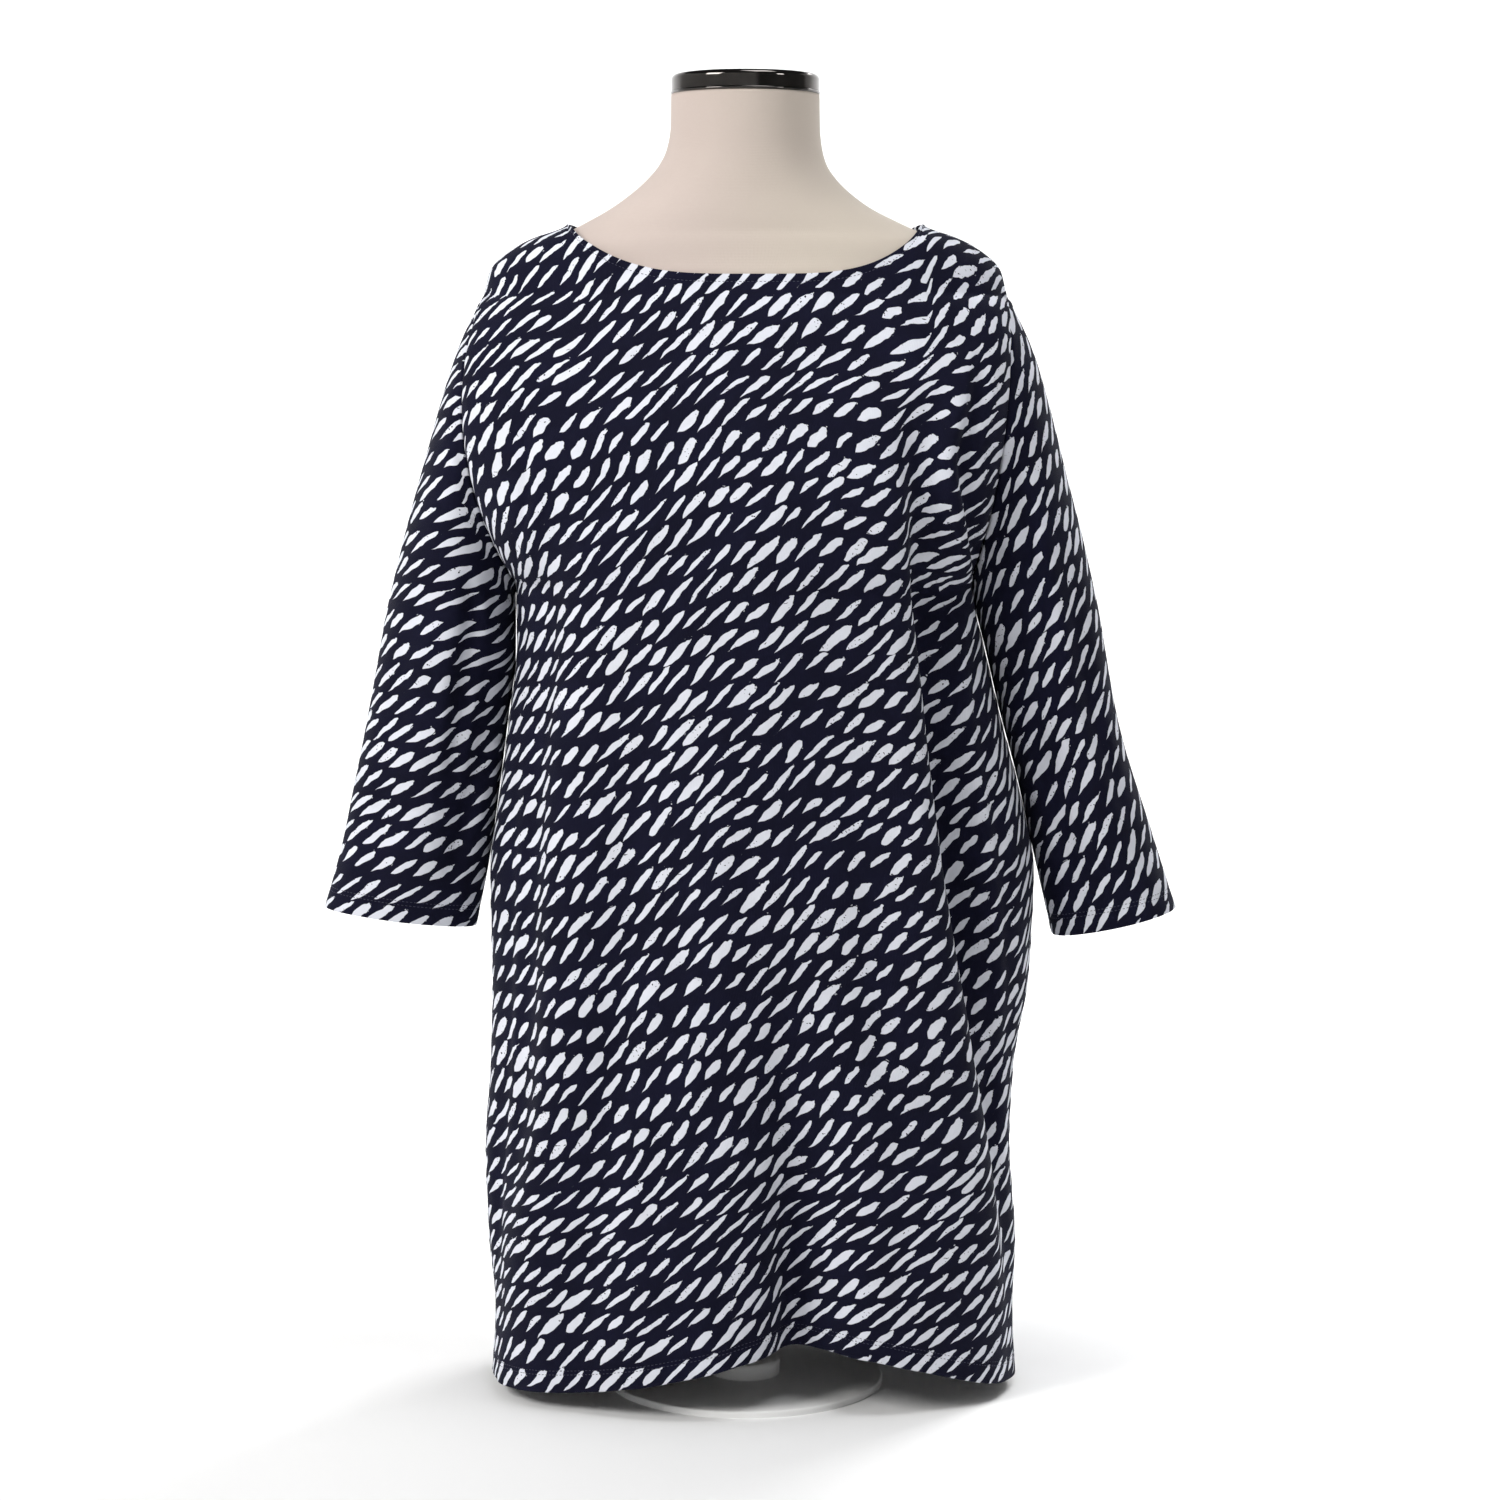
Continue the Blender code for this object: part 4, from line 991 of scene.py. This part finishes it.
def dab_rows(g, pu, pv, panel, parity, fine, slow):
    """Every second row of dabs: how white the cloth is, and where it is just off a dab's upper tip."""
    height = 2 * DAB_ROW
    pv = g.math("ADD", pv, parity * DAB_ROW)
    seed = g.math("ADD", panel, 17.0 * parity)
    row = g.math("FLOOR", g.math("DIVIDE", pv, height))
    in_row = g.math("SUBTRACT", pv, g.math("MULTIPLY", g.math("ADD", row, 0.5), height))
    row_chance = g.add("ShaderNodeTexWhiteNoise", noise_dimensions="2D",
                       inputs={"Vector": g.vector(row, seed, 0.0)}).outputs["Value"]
    leaning = g.math("SUBTRACT", pu, g.math("DIVIDE", in_row, math.tan(DAB_SLANT)))
    shifted = g.math("ADD", leaning, g.math("MULTIPLY", row_chance, DAB_PITCH))
    cell = g.math("FLOOR", g.math("DIVIDE", shifted, DAB_PITCH))
    in_cell = g.math("SUBTRACT", shifted, g.math("MULTIPLY", g.math("ADD", cell, 0.5), DAB_PITCH))
    place, shape = (
        g.add("ShaderNodeSeparateXYZ", inputs={"Vector": g.add(
            "ShaderNodeTexWhiteNoise", noise_dimensions="3D",
            inputs={"Vector": g.vector(cell, row, g.math("ADD", seed, shift))}).outputs["Color"]}).outputs
        for shift in (0.0, 51.0))

    # Place in the dab's own axes: along it and across it
    from_line = g.math("ADD", in_cell, g.math("MULTIPLY", g.math("SUBTRACT", place[0], 0.5), 0.0018))
    local_u = g.math("ADD", from_line, g.math("DIVIDE", in_row, math.tan(DAB_SLANT)))
    turn = g.math("ADD", DAB_SLANT, g.math("MULTIPLY", g.math("SUBTRACT", place[1], 0.5), 0.20))
    cosine, sine = g.math("COSINE", turn), g.math("SINE", turn)
    along = g.math("ADD", g.math("MULTIPLY", local_u, cosine), g.math("MULTIPLY", in_row, sine))
    along = g.math("ADD", along, g.math("MULTIPLY", g.math("SUBTRACT", place[2], 0.5), 0.0052))
    aside = g.math("SUBTRACT", g.math("MULTIPLY", in_row, cosine), g.math("MULTIPLY", local_u, sine))
    aside = g.math("ADD", aside, g.math("MULTIPLY", g.math("SUBTRACT", slow, 0.5), 0.0036))

    # Outline: fuller or leaner, widest above or below its middle, ends cut at a slant
    half_length = g.math("MULTIPLY", DAB_HALF_LENGTH, g.math("ADD", 0.58, g.math("MULTIPLY", shape[0], 0.44)))
    wide = g.math("POWER", shape[1], 1.3)
    half_width = g.math("MULTIPLY", DAB_HALF_WIDTH, g.math("ADD", 0.50, g.math("MULTIPLY", wide, 0.56)))
    reach = g.math("DIVIDE", along, half_length)
    lean = g.math("MULTIPLY", g.math("SUBTRACT", shape[2], 0.25), 0.62)
    skewed = g.math("SUBTRACT", reach, g.math("MULTIPLY", lean, g.math("SUBTRACT", 1.0, g.math("POWER", reach, 2.0))))
    side_share = g.math("DIVIDE", aside, half_width)
    cut = g.math("MULTIPLY", g.math("SUBTRACT", place[0], 0.62), 0.55)
    skewed = g.math("ADD", skewed, g.math("MULTIPLY", cut, side_share))
    fullness = g.math("ADD", 1.9, g.math("MULTIPLY", place[1], 1.9))
    body = g.math("SUBTRACT", 1.0, g.math("POWER", g.math("ABSOLUTE", skewed), fullness))
    edge = g.math("SUBTRACT", body, g.math("ABSOLUTE", side_share))

    # Ragged where the brush left the cloth, at the upper tip
    toward_tip = g.between(skewed, 0.10, 0.95)
    ragged = g.math("ADD", 0.16, g.math("MULTIPLY", toward_tip, 1.05))
    edge = g.math("ADD", edge, g.math("MULTIPLY", g.math("SUBTRACT", fine, 0.5), ragged))
    inside = g.math("MULTIPLY", g.between(g.math("ABSOLUTE", skewed), 1.10, 1.02),
                    g.between(g.math("ABSOLUTE", reach), 1.35, 1.25))
    dab = g.math("MULTIPLY", g.between(edge, 0.0, 0.10), inside)
    near_tip = g.math("MULTIPLY", g.math("MULTIPLY", toward_tip, g.between(edge, -0.45, -0.20)), inside)
    return dab, near_tip


def jersey_material(name, navy, white):
    """Printed cotton jersey: brush dabs on navy over a fine knit, with painted shade in the knit's grooves on the
    white.
    """
    g = Graph(name)
    grain = g.add("ShaderNodeAttribute", attribute_name="grain").outputs["Vector"]
    split = g.add("ShaderNodeSeparateXYZ", inputs={"Vector": grain})
    u, v = split.outputs[0], split.outputs[1]
    panel = g.math("ROUND", split.outputs[2])
    warp = g.add("ShaderNodeTexNoise", inputs={"Vector": grain, "Scale": WARP_SCALE, "Detail": 1.0}).outputs["Color"]
    warp_split = g.add("ShaderNodeSeparateXYZ", inputs={"Vector": warp})
    bend_u = g.math("MULTIPLY", g.math("SUBTRACT", warp_split.outputs[0], 0.5), 2 * WARP_SIZE)
    bend_v = g.math("MULTIPLY", g.math("SUBTRACT", warp_split.outputs[1], 0.5), 2 * WARP_SIZE)
    pu = g.math("ADD", g.math("ADD", u, g.math("MULTIPLY", panel, 0.173)), bend_u)
    pv = g.math("ADD", g.math("ADD", v, g.math("MULTIPLY", panel, 0.0577)), bend_v)
    pv = g.math("SUBTRACT", pv, g.math("MULTIPLY", pu, DAB_ROW_RISE))
    fine = g.noise(grain, 240.0, 1.5)
    slow = g.noise(grain, 105.0, 1.0)
    even, even_tip = dab_rows(g, pu, pv, panel, 0, fine, slow)
    odd, odd_tip = dab_rows(g, pu, pv, panel, 1, fine, slow)
    dab = g.math("MAXIMUM", even, odd)

    # Specks where the brush missed, and stray flecks of white off the tips
    speck = g.noise(g.vector(u, v, g.math("ADD", panel, 0.4)), 560.0, 0.0)
    speck_where = g.noise(g.vector(u, v, g.math("ADD", panel, 3.4)), 55.0, 0.0)
    hole = g.math("MULTIPLY", g.between(speck, 0.70, 0.74), g.between(speck_where, 0.58, 0.64))
    fleck_shape = g.noise(g.vector(u, v, g.math("ADD", panel, 6.4)), 330.0, 0.0)
    fleck = g.math("MULTIPLY", g.between(fleck_shape, 0.725, 0.745), g.math("MAXIMUM", even_tip, odd_tip))
    dab = g.math("MAXIMUM", g.math("MULTIPLY", dab, g.math("SUBTRACT", 1.0, hole)), fleck)

    # Knit: wales up the cloth, each of leaning loops
    wale = g.math("FRACT", g.math("DIVIDE", u, WALE))
    from_middle = g.math("ABSOLUTE", g.math("SUBTRACT", wale, 0.5))
    loops = g.math("FRACT", g.math("ADD", g.math("DIVIDE", v, COURSE), g.math("MULTIPLY", from_middle, 1.4)))
    loop_height = g.math("SUBTRACT", 1.0, g.math("POWER", g.math("SUBTRACT", g.math("MULTIPLY", loops, 2.0), 1.0), 2.0))
    groove = g.between(from_middle, 0.50, 0.30)
    knit = g.math("MULTIPLY", loop_height, groove)
    mottle = g.noise(grain, 24.0, 4.0)
    fuzz = g.noise(grain, 2600.0, 2.0)

    dark = g.mix(g.between(mottle, 0.30, 0.72), (*[c * 0.82 for c in navy], 1.0), (*[c * 1.22 for c in navy], 1.0))
    dark = g.mix(g.math("MULTIPLY", fuzz, 0.35), dark, (*[c * 2.1 for c in navy], 1.0))
    light = g.mix(g.between(mottle, 0.30, 0.75), (*[c * 0.93 for c in white], 1.0), (*white, 1.0))
    # Painted shade: the white is darkened in the grooves between the knit's loops
    light = g.mix(g.math("MULTIPLY", g.math("SUBTRACT", 1.0, knit), 0.13), light, (*[c * 0.55 for c in white], 1.0))
    colour = g.mix(dab, dark, light)
    g.put(g.shader.inputs["Base Color"], colour)
    g.put(g.shader.inputs["Roughness"], g.math("SUBTRACT", 0.86, g.math("MULTIPLY", dab, 0.08)))
    g.shader.inputs["Specular IOR Level"].default_value = 0.12
    g.shader.inputs["Sheen Weight"].default_value = 0.018
    g.shader.inputs["Sheen Roughness"].default_value = 0.45
    g.shader.inputs["Sheen Tint"].default_value = (0.80, 0.84, 1.0, 1.0)
    height = g.math("ADD", g.math("MULTIPLY", knit, 0.00016), g.math("MULTIPLY", fuzz, 0.00006))
    g.put(g.shader.inputs["Normal"], g.bump(height, 1.0, 0.7))
    return g.material


def thread_material():
    g = Graph("navy_thread")
    where = g.add("ShaderNodeTexCoord").outputs["Object"]
    twist = g.noise(where, 1900.0, 2.0)
    g.put(g.shader.inputs["Base Color"], g.mix(twist, (0.012, 0.013, 0.032, 1.0), (0.045, 0.048, 0.090, 1.0)))
    g.put(g.shader.inputs["Roughness"], g.math("ADD", 0.45, g.math("MULTIPLY", twist, 0.3)))
    g.put(g.shader.inputs["Normal"], g.bump(twist, 0.0002, 0.6))
    return g.material


def form_material():
    """Cream knitted cover, stretched over the padding, with painted light: a paler tone on the side away from the key
    light, and painted shade in the grooves of the knit.
    """
    g = Graph("form_cover_fabric")
    where = g.add("ShaderNodeTexCoord").outputs["Object"]
    split = g.add("ShaderNodeSeparateXYZ", inputs={"Vector": where}).outputs
    turn = g.math("ARCTAN2", split[0], g.math("MULTIPLY", split[1], -1.0))
    ribs = g.math("SINE", g.math("MULTIPLY", turn, 420.0))
    courses = g.math("SINE", g.math("MULTIPLY", split[2], 2 * math.pi / 0.0011))
    weave = g.math("MULTIPLY", g.math("ADD", ribs, courses), 0.25)
    slub = g.noise(g.vector(g.math("MULTIPLY", turn, 9.0), 0.0, g.math("MULTIPLY", split[2], 150.0)), 3.0, 3.0)
    cloud = g.noise(where, 7.0, 3.0)
    # Painted light: one tone on the side toward the key light (-X) and a paler one on the side in shade (+X), blended
    # across the middle with a wavering edge
    keylit_side_colour, shaded_side_colour = (0.535, 0.449, 0.408, 1.0), (0.570, 0.503, 0.430, 1.0)
    side = g.between(g.math("ADD", split[0], g.math("MULTIPLY", g.math("SUBTRACT", cloud, 0.5), 0.10)), -0.06, 0.07)
    colour = g.mix(side, keylit_side_colour, shaded_side_colour)
    colour = g.mix(g.math("MULTIPLY", g.between(slub, 0.35, 0.75), 0.10), colour, (0.60, 0.54, 0.48, 1.0))
    # Painted shade: the cover is darkened in the grooves between the ribs and courses of the knit
    colour = g.mix(g.math("MULTIPLY", g.math("SUBTRACT", 0.5, weave), 0.07), colour, (0.50, 0.45, 0.40, 1.0))
    g.put(g.shader.inputs["Base Color"], colour)
    g.put(g.shader.inputs["Roughness"], g.math("ADD", 0.80, g.math("MULTIPLY", slub, 0.12)))
    g.shader.inputs["Specular IOR Level"].default_value = 0.25
    g.shader.inputs["Sheen Weight"].default_value = 0.12
    g.shader.inputs["Sheen Roughness"].default_value = 0.5
    height = g.math("ADD", g.math("MULTIPLY", weave, 0.00010), g.math("MULTIPLY", slub, 0.00012))
    g.put(g.shader.inputs["Normal"], g.bump(height, 1.0, 0.6))
    return g.material


def chrome_material():
    g = Graph("polished_dark_chrome")
    where = g.add("ShaderNodeTexCoord").outputs["Object"]
    smear = g.noise(where, 60.0, 4.0)
    scratches = g.noise(g.vector(g.math("MULTIPLY", g.add("ShaderNodeSeparateXYZ", inputs={"Vector": where}).outputs[2], 40.0),
                                 smear, 0.0), 12.0, 3.0)
    g.put(g.shader.inputs["Base Color"], g.mix(smear, (0.060, 0.055, 0.052, 1.0), (0.095, 0.088, 0.084, 1.0)))
    g.shader.inputs["Metallic"].default_value = 1.0
    g.put(g.shader.inputs["Roughness"], g.math("ADD", 0.05, g.math("MULTIPLY", smear, 0.06)))
    g.put(g.shader.inputs["Normal"], g.bump(scratches, 0.0002, 0.15))
    return g.material


def coated_material():
    g = Graph("white_powder_coat")
    where = g.add("ShaderNodeTexCoord").outputs["Object"]
    pebble = g.noise(where, 900.0, 2.0)
    tone = g.noise(where, 18.0, 3.0)
    g.put(g.shader.inputs["Base Color"], g.mix(tone, (0.83, 0.83, 0.82, 1.0), (0.88, 0.88, 0.875, 1.0)))
    g.put(g.shader.inputs["Roughness"], g.math("ADD", 0.76, g.math("MULTIPLY", tone, 0.12)))
    g.put(g.shader.inputs["Normal"], g.bump(pebble, 0.0002, 0.5))
    return g.material


def make_tunic():
    jersey = jersey_material("printed_jersey", (0.0038, 0.0040, 0.0145), (0.78, 0.80, 0.875))
    thread = thread_material()
    front, front_sewing = make_panel("tunic_front_cloth", FRONT, FRONT_COLUMNS, 1.0, jersey, thread)
    back, back_sewing = make_panel("tunic_back_cloth", BACK, BACK_COLUMNS, 2.0, jersey, thread)
    right, right_sewing = make_sleeve("sleeve_right_cloth", "right", 3.0, jersey, thread)
    left, left_sewing = make_sleeve("sleeve_left_cloth", "left", 4.0, jersey, thread)


def make_stand():
    chrome, coated = chrome_material(), coated_material()
    bead = [(CAP_RADIUS - CAP_BEAD + CAP_BEAD * math.cos(angle), CAP_BEAD + CAP_BEAD * math.sin(angle))
            for angle in (math.radians(-90 + 12 * k) for k in range(14))]
    wall = [(CAP_RADIUS - CAP_SET_IN, bead[-1][1] + 0.0002)]
    rim = rounded_edge(CAP_RADIUS - CAP_SET_IN, CAP_HEIGHT - CAP_DOME, CAP_EDGE, 12)
    crown = [((CAP_RADIUS - CAP_EDGE) * (1 - k / 8), CAP_HEIGHT - CAP_DOME * (1 - k / 8) ** 2 * 0.9)
             for k in range(1, 8)]
    turned("neck_cap_polished", bead + wall + rim + crown, FORM[-1].z + SEAM_GAP, chrome, "dark_chrome", "neck_cap")
    flange_z = FORM[0].z - SEAM_GAP - FLANGE_THICK
    flange = [(FLANGE_RADIUS, 0.0)] + rounded_edge(FLANGE_RADIUS, FLANGE_THICK, FLANGE_EDGE, 4)
    turned("form_flange_coated", flange, flange_z, coated, "coated_steel", "form_flange")
    hub_z = BASE_THICK + SEAM_GAP
    pole_z = hub_z + HUB_HEIGHT + SEAM_GAP
    pole_length = flange_z - SEAM_GAP - pole_z
    pole = [(POLE_RADIUS, 0.0), (POLE_RADIUS, pole_length)]
    turned("form_pole_coated", pole, pole_z, coated, "coated_steel", "form_pole")
    hub = [(HUB_RADIUS, 0.0)] + rounded_edge(HUB_RADIUS, HUB_HEIGHT, HUB_EDGE, 8)
    turned("base_hub_coated", hub, hub_z, coated, "coated_steel", "base_hub")
    plate = [(BASE_RADIUS, 0.0)] + rounded_edge(BASE_RADIUS, BASE_THICK, BASE_EDGE, 6)
    turned("base_plate_coated", plate, 0.0, coated, "coated_steel", "base_plate")


# Studio: a pale floor that curves up all round, with a dark curtain on the right that keeps the
# folds' shaded sides dark. Soft light comes from the upper left and from above, and other lights
# whiten the floor and the wall behind.
FLOOR_RADIUS = 2.8
WALL_RADIUS = 5.2
WALL_TOP = 4.5


def make_studio():
    g = Graph("pale_studio")
    where = g.add("ShaderNodeTexCoord").outputs["Object"]
    tone = g.noise(where, 1.2, 2.0)
    pale = g.mix(tone, (0.90, 0.90, 0.90, 1.0), (0.93, 0.93, 0.93, 1.0))
    split = g.add("ShaderNodeSeparateXYZ", inputs={"Vector": where}).outputs
    curtain = g.math("MULTIPLY", g.between(split[0], 1.2, 2.0), g.between(split[1], 1.8, 0.9))
    g.put(g.shader.inputs["Base Color"], g.mix(curtain, pale, (0.22, 0.22, 0.22, 1.0)))
    g.shader.inputs["Roughness"].default_value = 0.9
    profile = [(0.0, 0.0), (FLOOR_RADIUS, 0.0)]
    bend = WALL_RADIUS - FLOOR_RADIUS
    for k in range(1, 13):
        angle = math.pi / 2 * k / 12
        profile.append((FLOOR_RADIUS + bend * math.sin(angle), bend * (1 - math.cos(angle))))
    profile.append((WALL_RADIUS, WALL_TOP))
    sides = 96
    points = [(0.0, 0.0, 0.0)]
    for radius, height in profile[1:]:
        for j in range(sides):
            turn = 2 * math.pi * j / sides
            points.append((radius * math.cos(turn), radius * math.sin(turn), height))
    faces = [(0, 1 + j, 1 + (j + 1) % sides) for j in range(sides)]
    for i in range(len(profile) - 2):
        for j in range(sides):
            k = (j + 1) % sides
            low, high = 1 + i * sides, 1 + (i + 1) * sides
            faces.append((low + j, high + j, high + k, low + k))
    floor = mesh_object("studio_floor", points, faces, g.material)

    world = bpy.data.worlds.new("studio")
    world.use_nodes = True
    background = world.node_tree.nodes["Background"]
    background.inputs["Color"].default_value = (1.0, 1.0, 1.0, 1.0)
    background.inputs["Strength"].default_value = 0.10
    bpy.context.scene.world = world

    middle = (0.0, 0.0, 0.5)
    make_light("key_light", (-2.3, -1.75, 2.4), middle, 1.3, 84.0, (1.0, 0.99, 0.97))
    make_light("overhead_light", (0.6, -0.6, 3.3), middle, 1.2, 38.0, (0.98, 0.99, 1.0))
    make_light("floor_light", (1.5, 1.7, 1.9), (0.95, 0.9, 0.0), 0.9, 16.0, (1.0, 1.0, 1.0), 80.0)
    make_light("right_glint_light", (2.35, -1.55, 1.9), (0.0, 0.0, 1.18), 0.5, 0.45, (1.0, 1.0, 1.0), 30.0)
    make_light("right_wall_light", (2.3, 1.3, 1.8), (0.6, 5.2, 1.2), 1.5, 110.0, (1.0, 1.0, 1.0))
    make_light("left_wall_light", (-2.3, 1.3, 1.8), (-0.6, 5.2, 1.2), 1.5, 110.0, (1.0, 1.0, 1.0))


def make_light(name, place, toward, size, power, colour, spread=180.0):
    data = bpy.data.lights.new(name, "AREA")
    data.shape = "SQUARE"
    data.size = size
    data.energy = power
    data.color = colour
    data.spread = math.radians(spread)
    light = bpy.data.objects.new(name, data)
    light.location = place
    light.rotation_mode = "QUATERNION"
    light.rotation_quaternion = (Vector(toward) - Vector(place)).to_track_quat("-Z", "Y")
    bpy.context.scene.collection.objects.link(light)


CAMERA_PLACE = (0.0034, -2.63, 0.760)
CAMERA_PITCH = 5.938
LENS = 84.0


def make_camera():
    data = bpy.data.cameras.new("camera")
    data.lens = LENS
    data.sensor_width = 36.0
    camera = bpy.data.objects.new("camera", data)
    camera.location = CAMERA_PLACE
    camera.rotation_euler = (math.radians(90 - CAMERA_PITCH), 0.0, 0.0)
    bpy.context.scene.collection.objects.link(camera)
    bpy.context.scene.camera = camera


make_camera()
make_form(form_material())
make_tunic()
make_stand()
make_studio()
bpy.context.scene.view_settings.view_transform = "Standard"
